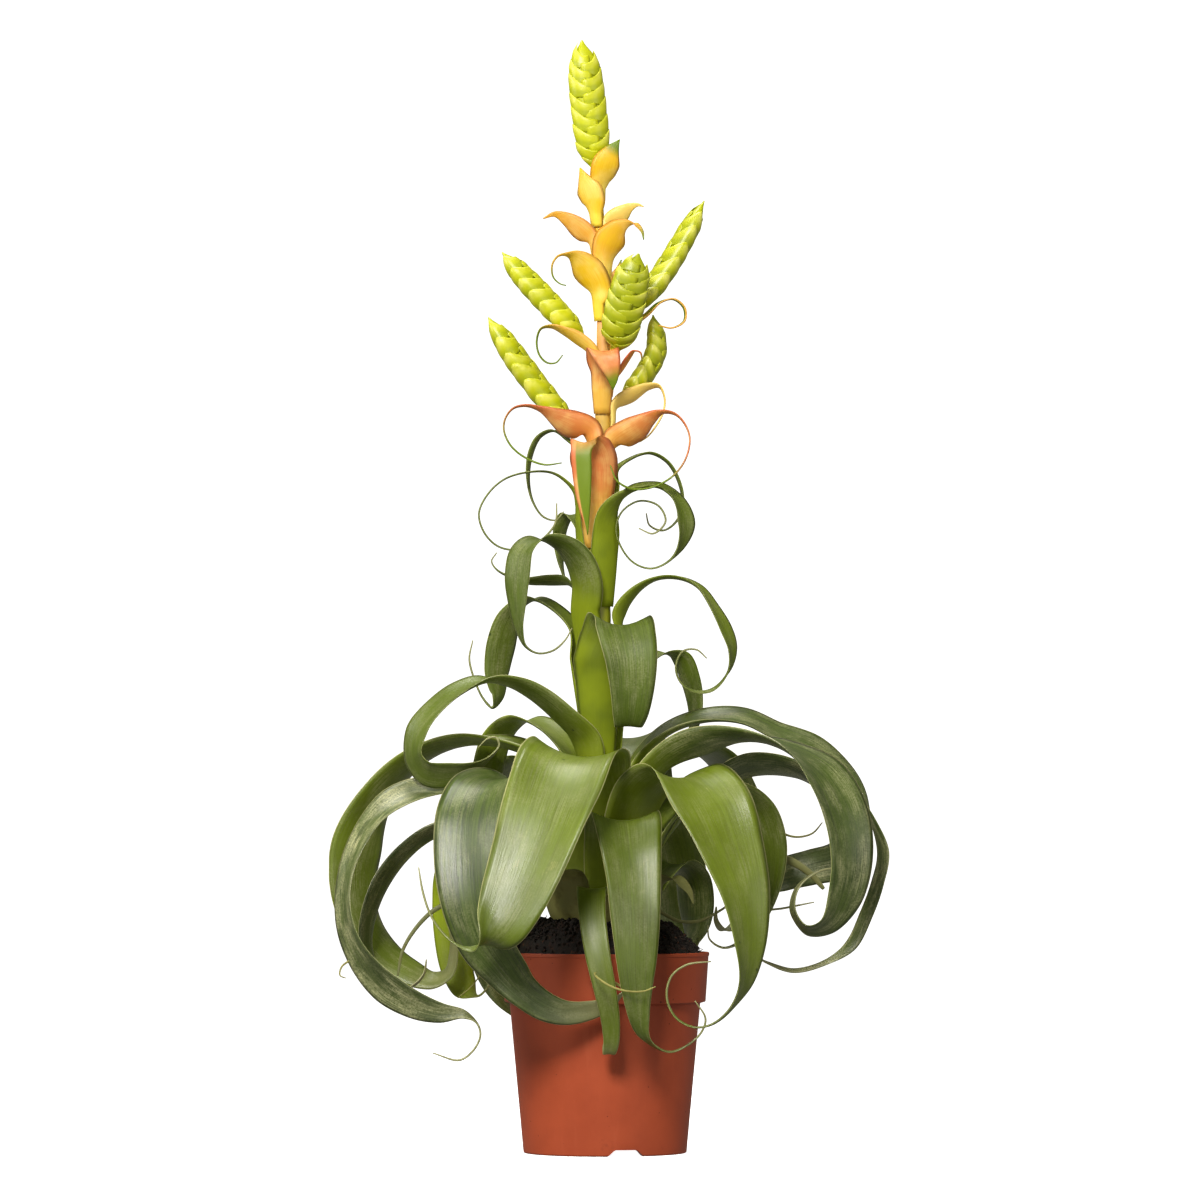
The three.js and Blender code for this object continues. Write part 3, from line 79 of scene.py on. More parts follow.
def srgb(red: int, green: int, blue: int) -> Colour:
    """Turns a screen colour from 0 to 255 into the linear colour that shaders use."""
    channels = [value / 255 for value in (red, green, blue)]
    return tuple(c / 12.92 if c <= 0.04045 else ((c + 0.055) / 1.055) ** 2.4 for c in channels)


class Face(Enum):
    """The two faces of a leaf."""

    UPPER = 1.0
    LOWER = 0.0


class Slot(Enum):
    """Material slots of the record."""

    POT = "pot"
    SOIL = "soil"
    STEM = "stem"
    LEAF = "leaf"
    STALK_LEAF = "stalk_leaf"
    BRACT = "bract"
    SPIKE = "spike"


# Node trees and shader maths


def feed(tree: NodeTree, socket: NodeSocket, value: Any) -> None:
    """Links an input to an output, or sets it to a constant.

    Args:
        tree: the node tree.
        socket: the input.
        value: a wire, an output or a constant.
    """
    source = value.socket if isinstance(value, Wire) else value
    if isinstance(source, NodeSocket):
        tree.links.new(source, socket)
    else:
        socket.default_value = source


def add_node(tree: NodeTree, kind: str, settings: dict[str, Any] | None = None,
             inputs: dict[int | str, Any] | None = None) -> Node:
    """Adds a node to a shader or geometry tree.

    Args:
        tree: the node tree.
        kind: the node's type.
        settings: its settings.
        inputs: wires, outputs or constants for its inputs, by name or number.

    Returns:
        The node.
    """
    node = tree.nodes.new(kind)
    for name, value in (settings or {}).items():
        setattr(node, name, value)
    for key, value in (inputs or {}).items():
        feed(tree, node.inputs[key], value)
    return node


class Wire:
    """A shader socket that takes part in Python expressions."""

    def __init__(self, graph: Graph, socket: NodeSocket) -> None:
        """Keeps the output socket and the graph that it belongs to."""
        self.graph = graph
        self.socket = socket

    def _maths(self, operation: str, left: Value, right: Value) -> Wire:
        """Adds a Math node and hands back its output."""
        return self.graph.node("ShaderNodeMath", {"operation": operation}, {0: left, 1: right})

    def __add__(self, other: Value) -> Wire:
        """Sum."""
        return self._maths("ADD", self, other)

    def __radd__(self, other: Value) -> Wire:
        """Sum with a number on the left."""
        return self._maths("ADD", other, self)

    def __sub__(self, other: Value) -> Wire:
        """Difference."""
        return self._maths("SUBTRACT", self, other)

    def __rsub__(self, other: Value) -> Wire:
        """Difference from a number on the left."""
        return self._maths("SUBTRACT", other, self)

    def __mul__(self, other: Value) -> Wire:
        """Product."""
        return self._maths("MULTIPLY", self, other)

    def __truediv__(self, other: Value) -> Wire:
        """Quotient."""
        return self._maths("DIVIDE", self, other)

    def __abs__(self) -> Wire:
        """Size without its sign."""
        return self._maths("ABSOLUTE", self, 0.0)


Value = Wire | float


class Grain(NamedTuple):
    """A soft noise: how fine it is, its finer layers and their strength, and any stretch."""

    scale: float
    detail: float = 3.0
    roughness: float = 0.5
    stretch: Point | None = None


class Graph:
    """Builds one material's node tree."""

    def __init__(self, name: str) -> None:
        """Starts a material with a Principled surface.

        Args:
            name: the material's name.
        """
        self.material = bpy.data.materials.new(name)
        self.material.use_nodes = True
        self.tree = self.material.node_tree
        self.surface = self.tree.nodes["Principled BSDF"]

    def node(self, kind: str, settings: dict[str, Any] | None = None,
             inputs: dict[int | str, Any] | None = None, output: int | str = 0) -> Wire:
        """Adds a node as add_node does, and hands back one of its outputs as a wire."""
        return Wire(self, add_node(self.tree, kind, settings, inputs).outputs[output])

    def attributes(self, *names: str) -> list[Wire]:
        """Reads numbers stored on the mesh."""
        return [self.node("ShaderNodeAttribute", {"attribute_name": name}, output="Fac") for name in names]

    def place(self) -> Wire:
        """Object coordinates."""
        return self.node("ShaderNodeTexCoord", output="Object")

    def height(self) -> Wire:
        """Height in object coordinates."""
        return self.node("ShaderNodeSeparateXYZ", None, {0: self.place()}, "Z")

    def leaf_map(self) -> tuple[Wire, Wire]:
        """A leaf's UV map, and its first number alone: how far across the leaf it is."""
        uv = self.node("ShaderNodeUVMap", {"uv_map": LEAF_MAP})
        return uv, self.node("ShaderNodeSeparateXYZ", None, {0: uv})

    def shifted(self, place: Wire, amount: Value) -> Wire:
        """Coordinates moved by an amount, so that two leaves differ."""
        shift = self.node("ShaderNodeCombineXYZ", None, {"X": amount, "Y": amount})
        return self.node("ShaderNodeVectorMath", {"operation": "ADD"}, {0: place, 1: shift})

    def ramp(self, value: Wire, stops: Sequence[tuple[float, Colour]]) -> Wire:
        """A colour that follows a value.

        Args:
            value: what the ramp reads.
            stops: place and colour of each stop, in order.

        Returns:
            The colour.
        """
        made = self.node("ShaderNodeValToRGB", None, {0: value})
        ramp = made.socket.node.color_ramp
        while len(ramp.elements) < len(stops):
            ramp.elements.new(1.0)
        for element, (place, colour) in zip(ramp.elements, stops):
            element.position = place
            element.color = (*colour, 1.0)
        return made

    def mix(self, amount: Value, first: Wire | Colour, second: Wire | Colour) -> Wire:
        """Mixes two colours.

        Args:
            amount: share of the second colour.
            first: first colour.
            second: second colour.

        Returns:
            The mixed colour.
        """
        settings = {"data_type": "RGBA", "clamp_factor": True}
        ends = [c if isinstance(c, Wire) else (*c, 1.0) for c in (first, second)]
        return self.node("ShaderNodeMix", settings, {0: amount, 6: ends[0], 7: ends[1]}, output=2)

    def grain(self, pattern: Grain, place: Wire | None = None) -> Wire:
        """Soft noise from 0 to 1.

        Args:
            pattern: what the noise is like.
            place: its coordinates, the object's own if left out.

        Returns:
            The noise.
        """
        place = self.place() if place is None else place
        if pattern.stretch is not None:
            place = self.node("ShaderNodeMapping", None, {"Vector": place, "Scale": pattern.stretch})
        inputs = {"Vector": place, "Scale": pattern.scale, "Detail": pattern.detail,
                  "Roughness": pattern.roughness}
        return self.node("ShaderNodeTexNoise", None, inputs, "Fac")

    def step(self, value: Wire, low: float, high: float) -> Wire:
        """A smooth step.

        Args:
            value: what the step reads.
            low: where it is 0.
            high: where it is 1, which may be less than low.

        Returns:
            The step.
        """
        inputs = {"Value": value, "From Min": low, "From Max": high}
        if low > high:
            inputs = {"Value": value, "From Min": high, "From Max": low, "To Min": 1.0, "To Max": 0.0}
        return self.node("ShaderNodeMapRange", {"interpolation_type": "SMOOTHSTEP"}, inputs)

    def specks(self, scale: float, size: float) -> Wire:
        """Round specks, 1 inside one: how many there are in a metre, and their share of a space."""
        inputs = {"Vector": self.place(), "Scale": scale}
        return self.step(self.node("ShaderNodeTexVoronoi", None, inputs, "Distance"), size, size * 0.5)

    def finish(self, colour: Wire, roughness: Value, height: Wire | None = None, depth: float = 0.1,
               reach: float = 0.001, glow: float = 0.0, **constants: float | Row) -> Material:
        """Joins the colour, roughness and relief to the surface.

        Args:
            colour: base colour.
            roughness: roughness.
            height: relief, if any.
            depth: strength of the relief.
            reach: real height of the relief in metres.
            glow: share of its colour that the surface gives off as a painted glow, standing in for light
                shining through a thin bract or leaf.
            constants: other surface inputs, underscores for the spaces in their names.

        Returns:
            The finished material.
        """
        inputs = {"Base Color": colour, "Roughness": roughness}
        # painted glow: the surface gives off its own colour as light, though it is no lamp
        if glow > 0.0:
            inputs |= {"Emission Color": colour, "Emission Strength": glow}
        if height is not None:
            relief = {"Height": height, "Strength": depth, "Distance": reach}
            inputs["Normal"] = self.node("ShaderNodeBump", None, relief)
        inputs |= {name.replace("_", " "): value for name, value in constants.items()}
        for name, value in inputs.items():
            feed(self.tree, self.surface.inputs[name], value)
        return self.material


# Finishes


@dataclass(frozen=True)
class LeafFinish:
    """A strap leaf: veined green faces, pale thin margins partly painted as light on the shaded edge, fine
    silvery scales with a painted sheen on some leaves, painted shade towards the hanging ends and a painted
    glow.
    """

    name: str = "rosette_leaf"
    deep: Colour = srgb(34, 50, 4)
    mid: Colour = srgb(68, 88, 12)
    bright: Colour = srgb(152, 170, 0)
    silver: Colour = srgb(172, 172, 126)
    # pale margin: partly the leaf's own pale edge, partly painted light on edge faces that lie in shade
    margin_and_painted_edge_light: Colour = srgb(200, 198, 136)
    sheath: Colour = srgb(122, 136, 0)
    dry: Colour = srgb(160, 156, 110)
    scuff: Colour = srgb(182, 174, 112)
    silver_lower: float = 0.36
    silver_upper: float = 0.20
    sheath_start: float = 0.02
    sheath_end: float = 0.22
    shine: float = 0.20
    gloss: float = 0.6
    # painted glow: a share of the leaf's colour given off as light, standing in for light shining through it
    glow: float = 0.07
    veins: Grain = Grain(3.0, 4.0, 0.65, (9.0, 0.55, 1.0))
    hair: Grain = Grain(3.0, 3.0, 0.6, (30.0, 1.1, 1.0))
    bloom: Grain = Grain(2.2, 3.0, 0.6, (1.3, 1.7, 1.0))
    clouds: Grain = Grain(26.0, 3.0, 0.55)
    scales: Grain = Grain(900.0, 2.0, 0.6)
    wear: Grain = Grain(75.0, 4.0, 0.7)

    def material(self) -> Material:
        """Builds the material.

        Returns:
            The material, which reads the leaf's UV map and its side, along and tone numbers.
        """
        g = Graph(self.name)
        along, side, tone = g.attributes("along", "side", "tone")
        uv, split = g.leaf_map()
        from_middle = abs(split - 0.5) * 2.0
        moved = g.shifted(uv, tone * 7.0)
        veins, hair, bloom = (g.grain(kind, moved) for kind in (self.veins, self.hair, self.bloom))
        clouds = g.grain(self.clouds)
        base = g.mix(g.step(veins * 0.75 + clouds * 0.5, 0.42, 0.82), self.deep, self.mid)
        base = g.mix(tone * (0.55 + clouds * 0.6), base, self.bright)
        clasp = g.step(along, self.sheath_end, self.sheath_start)
        base = g.mix(clasp * (0.45 + g.step(clouds, 0.3, 0.6) * 0.5), base, self.sheath)
        amount = side * (self.silver_upper - self.silver_lower) + self.silver_lower
        silvered = g.step(g.grain(self.scales) * 0.35 + hair * 0.75, 0.40, 0.72) * amount
        silvered = silvered * (0.35 + g.step(bloom, 0.40, 0.66) * 1.5)
        # silver share per leaf: less on brighter leaves; on leaves with tone below zero much more, a painted
        # sheen standing in for light glancing off them
        bloom_and_painted_sheen = 1.0 - tone * 0.7 + g.step(tone, 0.0, -1.0) * 1.6
        # painted shade: darker from the middle towards the hanging end of each leaf, where its faces turn
        # away from the light
        base = g.mix(g.step(along, 0.45, 0.8) * 0.3, base, self.deep)
        base = g.mix(silvered * bloom_and_painted_sheen * g.step(along, 0.0, 0.2), base, self.silver)
        base = g.mix(g.step(along, 0.80, 1.0) * 0.6, base, self.dry)
        # pale margin: partly the leaf's own pale edge, partly painted light on edge faces that lie in shade
        base = g.mix(g.step(from_middle, 0.965, 0.992) * 0.7, base, self.margin_and_painted_edge_light)
        worn = g.step(g.grain(self.wear), 0.62, 0.74) * g.step(hair, 0.45, 0.65)
        base = g.mix(worn * 0.35, base, self.scuff)
        base = g.mix(g.specks(48.0, 0.06) * 0.7, base, self.deep)
        rough = self.shine + hair * 0.2 + clouds * 0.1 + side * 0.04 + clasp * 0.3
        return g.finish(base, rough, veins * 0.6 + hair * 0.4, 0.30, 0.0007, self.glow,
                        Specular_IOR_Level=self.gloss)


@dataclass(frozen=True)
class WitheredFinish:
    """Dead tails and husks: straw to grey-green, matt, with brown stains."""

    name: str = "withered"
    straw: Colour = srgb(176, 168, 92)
    grey: Colour = srgb(92, 98, 58)
    brown: Colour = srgb(96, 84, 22)
    # painted glow: a share of the husks' colour given off as light, standing in for light shining through
    # them
    glow: float = 0.03
    clouds: Grain = Grain(110.0, 3.0, 0.6)

    def material(self) -> Material:
        """Builds the material.

        Returns:
            The material, which reads the piece's tone number.
        """
        g = Graph(self.name)
        clouds = g.grain(self.clouds)
        base = g.mix(*g.attributes("tone"), self.straw, self.grey)
        base = g.mix(g.step(clouds, 0.48, 0.72) * 0.5, base, self.brown)
        return g.finish(base, 0.5 + clouds * 0.2, clouds, 0.3, 0.0004, self.glow)


@dataclass(frozen=True)
class BractFinish:
    """A bract: peach or gold, green towards its tail, with a pink-red edge."""

    name: str = "bract"
    peach: Colour = srgb(204, 116, 58)
    gold: Colour = srgb(224, 180, 10)
    flush: Colour = srgb(188, 80, 54)
    green: Colour = srgb(104, 126, 12)
    pale: Colour = srgb(250, 228, 140)
    neck: Colour = srgb(226, 208, 60)
    # painted glow: a share of the bract's colour given off as light, standing in for light shining through it
    glow: float = 0.10
    veins: Grain = Grain(3.0, 4.0, 0.55, (26.0, 2.0, 1.0))
    clouds: Grain = Grain(55.0, 3.0, 0.55)

    def material(self) -> Material:
        """Builds the material.

        Returns:
            The material, which reads the leaf's UV map and its along, tone and green numbers.
        """
        g = Graph(self.name)
        along, tone, green = g.attributes("along", "tone", "green")
        uv, split = g.leaf_map()
        from_middle = abs(split - 0.5) * 2.0
        veins, clouds = g.grain(self.veins, uv), g.grain(self.clouds)
        base = g.mix(g.step(tone + clouds * 0.5 - 0.25, 0.15, 0.85), self.peach, self.gold)
        base = g.mix(g.step(along + clouds * 0.3, 0.40, 0.02) * (0.35 + tone * 0.45), base, self.neck)
        base = g.mix(g.step(clouds + veins * 0.4, 0.80, 0.50) * 0.38, base, self.pale)
        base = g.mix(g.step(from_middle, 0.55, 1.0) * (1.0 - tone * 0.6) * 0.6, base, self.flush)
        base = g.mix(g.step(veins, 0.45, 0.7) * 0.16, base, self.flush)
        base = g.mix(g.step(tone, 0.9, 1.0) * 0.45, base, self.pale)
        strap = g.step(green, 0.5, 0.45) * g.step(split, 0.28, 0.18)
        turned = g.step(along + clouds * 0.16 - 0.08 - green, -0.10, 0.12)
        base = g.mix(turned * (1.0 - strap), base, self.green)
        return g.finish(base, 0.34 + veins * 0.12, veins, 0.35, 0.0006, self.glow)


@dataclass(frozen=True)
class ScaleFinish:
    """Chartreuse flower scales: a painted highlight on their bulge, painted shade in the creases where they
    overlap, and a thin painted highlight on the lip.
    """

    name: str = "flower_scale"
    # painted shade: the darker colour low on each scale, where the scale above covers it
    painted_crease_shade: Colour = srgb(156, 164, 0)
    body: Colour = srgb(184, 188, 10)
    # painted highlight on the bulge of each scale
    pale: Colour = srgb(228, 224, 110)
    # painted highlight along each scale's lip
    lip: Colour = srgb(202, 204, 50)
    leafy: Colour = srgb(120, 132, 0)
    # painted glow: a share of the scales' colour given off as light, standing in for light shining through
    # them
    glow: float = 0.08
    clouds: Grain = Grain(140.0, 3.0, 0.55)
    fine: Grain = Grain(700.0, 2.0, 0.5)

    def material(self) -> Material:
        """Builds the material.

        Returns:
            The material, which reads the rise, turn and tone numbers of the scales.
        """
        g = Graph(self.name)
        rise, turn, tone = g.attributes("rise", "turn", "tone")
        clouds, fine = g.grain(self.clouds), g.grain(self.fine)
        # painted shade on the lower part of each scale, under the overlapping one, with the paler body above
        base = g.mix(g.step(rise, 0.30, 0.62), self.painted_crease_shade, self.body)
        base = g.mix(tone * 0.75, base, self.leafy)
        # painted highlight on the bulge of each scale, in patches
        painted_bulge_highlight = g.step(rise, 0.5, 0.8) * g.step(turn, 0.85, 0.15) * g.step(clouds, 0.3, 0.65)
        base = g.mix(painted_bulge_highlight * 0.55, base, self.pale)
        # painted highlight: a thin brighter band along each scale's lip
        base = g.mix(g.step(rise, 0.955, 0.99) * 0.6, base, self.lip)
        relief = fine * 0.4 + clouds * 0.6
        return g.finish(base, 0.33 + fine * 0.12, relief, 0.2, 0.0005, self.glow)


@dataclass(frozen=True)
class StemFinish:
    """The stalk: yellow-green below, gold and rosy between the bracts, green at the top."""

    name: str = "stalk"
    length: float = 0.6
    stops: tuple[tuple[float, Colour], ...] = (
        (0.0, srgb(96, 84, 40)), (0.30, srgb(150, 160, 30)), (0.55, srgb(140, 152, 16)),
        (0.66, srgb(188, 160, 44)), (0.76, srgb(216, 168, 92)), (0.82, srgb(226, 156, 104)),
        (0.88, srgb(232, 196, 60)), (0.97, srgb(196, 196, 40)),
    )
    pale: Colour = srgb(220, 196, 96)
    clouds: Grain = Grain(120.0, 3.0, 0.55, (1.0, 1.0, 0.25))

    def material(self) -> Material:
        """Builds the material.

        Returns:
            The material, which follows the height on the stalk.
        """
        g = Graph(self.name)
        clouds = g.grain(self.clouds)
        base = g.ramp(g.height() / self.length, self.stops)
        base = g.mix(g.step(clouds, 0.35, 0.7) * 0.35, base, self.pale)
        return g.finish(base, 0.45 + clouds * 0.1, clouds, 0.25, 0.0005)


@dataclass(frozen=True)
class PotFinish:
    """Moulded terracotta-coloured plastic: satin, faintly mottled, scuffed and specked."""

    name: str = "pot_plastic"
    body: Colour = srgb(176, 76, 42)
    dark: Colour = srgb(158, 66, 36)
    light: Colour = srgb(190, 92, 58)
    soil: Colour = srgb(52, 28, 18)
    gloss: float = 0.4
    mottle: Grain = Grain(38.0, 4.0, 0.6)
    fine: Grain = Grain(1500.0, 2.0, 0.5)
    drag: Grain = Grain(160.0, 3.0, 0.6, (1.0, 1.0, 0.12))
    smears: Grain = Grain(70.0, 5.0, 0.7)

    def material(self) -> Material:
        """Builds the material.

        Returns:
            The material, on object coordinates.
        """
        g = Graph(self.name)
        mottle, fine, drag = g.grain(self.mottle), g.grain(self.fine), g.grain(self.drag)
        base = g.mix(0.45 + g.step(mottle, 0.3, 0.7) * 0.55, self.dark, self.body)
        base = g.mix(g.step(drag, 0.55, 0.8) * 0.25, base, self.light)
        dust = g.specks(130.0, 0.07) + g.specks(47.0, 0.035)
        base = g.mix(dust * 0.75, base, self.soil)
        smear = g.step(g.grain(self.smears), 0.62, 0.78) * g.step(g.height(), 0.02, 0.0)
        base = g.mix(smear * 0.4, base, self.soil)
        rough = 0.40 + mottle * 0.12 + drag * 0.10 + dust * 0.3
        return g.finish(base, rough, fine * 0.5 + drag * 0.5, 0.25, 0.0003,
                        Specular_IOR_Level=self.gloss)


@dataclass(frozen=True)
class PeatFinish:
    """Dark moist peat: near-black crumbs with brown and reddish ones among them."""

    name: str = "peat"
    wet: Colour = srgb(24, 16, 11)
    brown: Colour = srgb(70, 42, 26)
    rust: Colour = srgb(112, 66, 38)
    lumps: Grain = Grain(240.0, 4.0, 0.65)
    fine: Grain = Grain(1300.0, 3.0, 0.6)
    rusty: Grain = Grain(330.0, 2.0, 0.5)

    def material(self) -> Material:
        """Builds the material.

        Returns:
            The material, on object coordinates.
        """
        g = Graph(self.name)
        lumps, fine = g.grain(self.lumps), g.grain(self.fine)
        base = g.mix(g.step(lumps, 0.45, 0.85) * 0.8, self.wet, self.brown)
        base = g.mix(g.step(g.grain(self.rusty), 0.62, 0.75) * 0.6, base, self.rust)
        return g.finish(base, 0.75 + fine * 0.2, lumps * 0.4 + fine * 0.6, 0.8, 0.0012)


@dataclass(frozen=True)
class FloorFinish:
    """The plain white surface under and round the plant."""

    name: str = "pale_floor"
    colour: Colour = (0.93, 0.93, 0.93)
    shade: Colour = (0.9, 0.9, 0.9)
    light: Row = (1.0, 1.0, 1.0, 1.0)
    glow: float = 1.0
    soft: Grain = Grain(3.0, 1.0, 0.4)

    def material(self) -> Material:
        """Builds the material.

        Returns:
            The material.
        """
        g = Graph(self.name)
        base = g.mix(g.grain(self.soft) * 0.1, self.colour, self.shade)
        return g.finish(base, 0.9, Emission_Color=self.light, Emission_Strength=self.glow)


# Meshes and pieces


def smooth_between(places: Sequence[float], values: Sequence[float], at: np.ndarray) -> np.ndarray:
    """Runs a smooth curve through values without overshooting them.

    Args:
        places: rising places of the values.
        values: the values.
        at: places wanted.

    Returns:
        The value at each wanted place.
    """
    x, y = np.asarray(places, float), np.asarray(values, float)
    gap = np.diff(x)
    slope = np.diff(y) / gap
    tangent = np.concatenate([[slope[0]], np.zeros(len(x) - 2), [slope[-1]]])
    same = slope[:-1] * slope[1:] > 0
    pair = np.where(same, slope[:-1] + slope[1:], 1.0)
    tangent[1:-1] = np.where(same, 2 * slope[:-1] * slope[1:] / pair, 0.0)
    at = np.clip(at, x[0], x[-1])
    seat = np.clip(np.searchsorted(x, at, side="right") - 1, 0, len(gap) - 1)
    t = (at - x[seat]) / gap[seat]
    h00, h10 = (1 + 2 * t) * (1 - t) ** 2, t * (1 - t) ** 2
    h01, h11 = t * t * (3 - 2 * t), t * t * (t - 1)
    rise = gap[seat]
    return (h00 * y[seat] + h10 * rise * tangent[seat]
            + h01 * y[seat + 1] + h11 * rise * tangent[seat + 1])


def unit(vectors: np.ndarray) -> np.ndarray:
    """Scales vectors to length one."""
    return vectors / np.maximum(np.linalg.norm(vectors, axis=-1, keepdims=True), 1e-9)


def squared_to(vectors: np.ndarray, along: np.ndarray) -> np.ndarray:
    """Turns vectors square to a run of directions."""
    return unit(vectors - along * np.sum(vectors * along, 1, keepdims=True))


def run_along(points: np.ndarray) -> np.ndarray:
    """Length run from the first point to each point."""
    return np.concatenate([[0], np.cumsum(np.linalg.norm(np.diff(points, axis=0), axis=1))])


def round_angles(count: int) -> np.ndarray:
    """Even angles all the way round, in radians."""
    return np.linspace(0, 2 * math.pi, count, endpoint=False)


def level_ring(radius: float, angle: np.ndarray, height: float | np.ndarray, x: float = 0.0,
               y: float = 0.0) -> np.ndarray:
    """Makes a ring of corners round an upright axis.

    Args:
        radius: the ring's radius.
        angle: angles of its corners.
        height: one height, or one for each corner.
        x: the axis's place from left to right.
        y: the axis's place from front to back.

    Returns:
        The corners.
    """
    heights = np.broadcast_to(height, angle.shape)
    return np.stack([x + radius * np.cos(angle), y + radius * np.sin(angle), heights], 1)


class SmoothLine:
    """The same centripetal curve through points that the part's own source uses."""

    samples = 240

    def __init__(self, points: Sequence[Sequence[float]]) -> None:
        """Works out each stretch's cubic.

        Args:
            points: the points in millimetres.
        """
        p = np.asarray(points, float)
        p = np.vstack([2 * p[0] - p[1], p, 2 * p[-1] - p[-2]])
        gap = np.sqrt(np.linalg.norm(np.diff(p, axis=0), axis=1))
        gap[0], gap[-1] = gap[1], gap[-2]
        self.count = len(p) - 3
        cubics = []
        for i in range(self.count):
            a, b, c, d = p[i:i + 4]
            g0, g1, g2 = gap[i:i + 3]
            start = g1 * ((b - a) / g0 - (c - a) / (g0 + g1) + (c - b) / g1)
            end = g1 * ((c - b) / g1 - (d - b) / (g1 + g2) + (d - c) / g2)
            cubics.append((b, start, 3 * (c - b) - 2 * start - end, 2 * (b - c) + start + end))
        self.table = np.array(cubics)
        self.lengths = run_along(self.points(np.linspace(0, 1, self.samples)))

    def _at(self, place: np.ndarray) -> tuple[np.ndarray, np.ndarray]:
        """Finds where places from 0 to 1 lie.

        Args:
            place: the places.

        Returns:
            The cubic of each place's stretch, and the share of the stretch that is run.
        """
        scaled = np.clip(place, 0, 1) * self.count
        stretch = np.minimum(scaled.astype(int), self.count - 1)
        return self.table[stretch], (scaled - stretch)[:, None]

    def points(self, place: np.ndarray) -> np.ndarray:
        """Points on the curve at places from 0 to 1."""
        c, t = self._at(place)
        return c[:, 0] + t * (c[:, 1] + t * (c[:, 2] + t * c[:, 3]))

    def directions(self, place: np.ndarray) -> np.ndarray:
        """Directions of the curve at places from 0 to 1."""
        c, t = self._at(place)
        return unit(c[:, 1] + t * (2 * c[:, 2] + t * 3 * c[:, 3]))

    def place_at_share(self, share: np.ndarray) -> np.ndarray:
        """Places for shares of the curve's length."""
        return np.interp(share, self.lengths / self.lengths[-1], np.linspace(0, 1, self.samples))


def store_numbers(mesh: Mesh, numbers: dict[str, np.ndarray], vectors: bool = False) -> None:
    """Stores numbers on the corners of a mesh.

    Args:
        mesh: the mesh.
        numbers: the numbers of its corners, by name.
        vectors: whether they are vectors.
    """
    kind, key = ("FLOAT_VECTOR", "vector") if vectors else ("FLOAT", "value")
    for name, values in numbers.items():
        layer = mesh.attributes.new(name, kind, "POINT")
        layer.data.foreach_set(key, np.asarray(values, np.float32).ravel())


@dataclass
class Shell:
    """Corners, faces and per-corner numbers of a mesh in the making, in millimetres."""

    corners: np.ndarray
    faces: list[Polygon]
    numbers: dict[str, np.ndarray] = field(default_factory=dict)
    uv: np.ndarray | None = None

    def mesh(self, name: str) -> Mesh:
        """Makes the smooth mesh, its faces turned outwards and its corners kept inside the solids' box.

        Args:
            name: the mesh's name.

        Returns:
            The mesh in metres.
        """
        made = bpy.data.meshes.new(name)
        faces = self.faces if self._volume() >= 0 else [face[::-1] for face in self.faces]
        inside = np.clip(self.corners * MM, CAD_BOX[0], CAD_BOX[1])
        made.from_pydata(inside.tolist(), [], faces)
        store_numbers(made, self.numbers)
        if self.uv is not None:
            corner_of = np.zeros(len(made.loops), np.int32)
            made.loops.foreach_get("vertex_index", corner_of)
            layer = made.uv_layers.new(name=LEAF_MAP)
            layer.data.foreach_set("uv", self.uv[corner_of].astype(np.float32).ravel())
        made.polygons.foreach_set("use_smooth", [True] * len(made.polygons))
        made.update()
        return made

    def _volume(self) -> float:
        """Measures what the shell encloses.

        Returns:
            Six times the volume, negative where the faces point inwards.
        """
        total = 0.0
        for face in self.faces:
            p = self.corners[list(face)]
            total += sum(float(np.dot(p[0], np.cross(p[i], p[i + 1]))) for i in range(1, len(face) - 1))
        return total


def band_faces(rings: int, sides: int) -> list[Polygon]:
    """Makes the faces between neighbouring rings of corners.

    Args:
        rings: number of rings.
        sides: corners in a ring.

    Returns:
        The faces.
    """
    faces: list[Polygon] = []
    for first in range(0, (rings - 1) * sides, sides):
        for i in range(sides):
            a, b = first + i, first + (i + 1) % sides
            faces.append((a, b, b + sides, a + sides))
    return faces


def tube_shell(rings: Sequence[np.ndarray], numbers: dict[str, np.ndarray] | None = None) -> Shell:
    """Closes rings of corners into a tube with two ends.

    Args:
        rings: rings with the same number of corners.
        numbers: numbers for each ring.

    Returns:
        The shell.
    """
    sides = len(rings[0])
    top = (len(rings) - 1) * sides
    ends = [tuple(range(sides))[::-1], tuple(range(top, top + sides))]
    spread = {key: np.repeat(values, sides) for key, values in (numbers or {}).items()}
    return Shell(np.concatenate(rings), band_faces(len(rings), sides) + ends, spread)


def add_object(name: str, data: ID) -> Object:
    """Puts a mesh, lamp or camera in the scene.

    Args:
        name: the object's name.
        data: the mesh, lamp or camera.

    Returns:
        The object.
    """
    made = bpy.data.objects.new(name, data)
    bpy.context.scene.collection.objects.link(made)
    return made


def add_piece(mesh: Mesh, material: Material,
              stands_for: Iterable[str] = ()) -> Object:
    """Puts a finished mesh in the scene as a piece of the plant.

    Args:
        mesh: its mesh, placed in the part's frame.
        material: its finish.
        stands_for: the solids that it is shown in place of.

    Returns:
        The piece.
    """
    mesh.materials.clear()
    mesh.materials.append(material)
    piece = add_object(mesh.name, mesh)
    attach(piece, BODY)
    names = tuple(stands_for)
    if names:
        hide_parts(*names)
    log.info("%s: %d corners", piece.name, len(mesh.vertices))
    return piece


def plain_mesh(name: str, carrier: Object, *helpers: Object) -> Mesh:
    """Makes a plain mesh of an object with its modifier, and clears the objects away.

    Args:
        name: the mesh's name.
        carrier: the object with the modifier.
        helpers: objects that only the modifier needs.

    Returns:
        The mesh.
    """
    depsgraph = bpy.context.evaluated_depsgraph_get()
    made = bpy.data.meshes.new_from_object(
        carrier.evaluated_get(depsgraph), preserve_all_data_layers=True, depsgraph=depsgraph)
    carrier.modifiers.remove(carrier.modifiers[0])
    for item in (carrier, *helpers):
        bpy.data.objects.remove(item, do_unlink=True)
    made.name = name
    return made


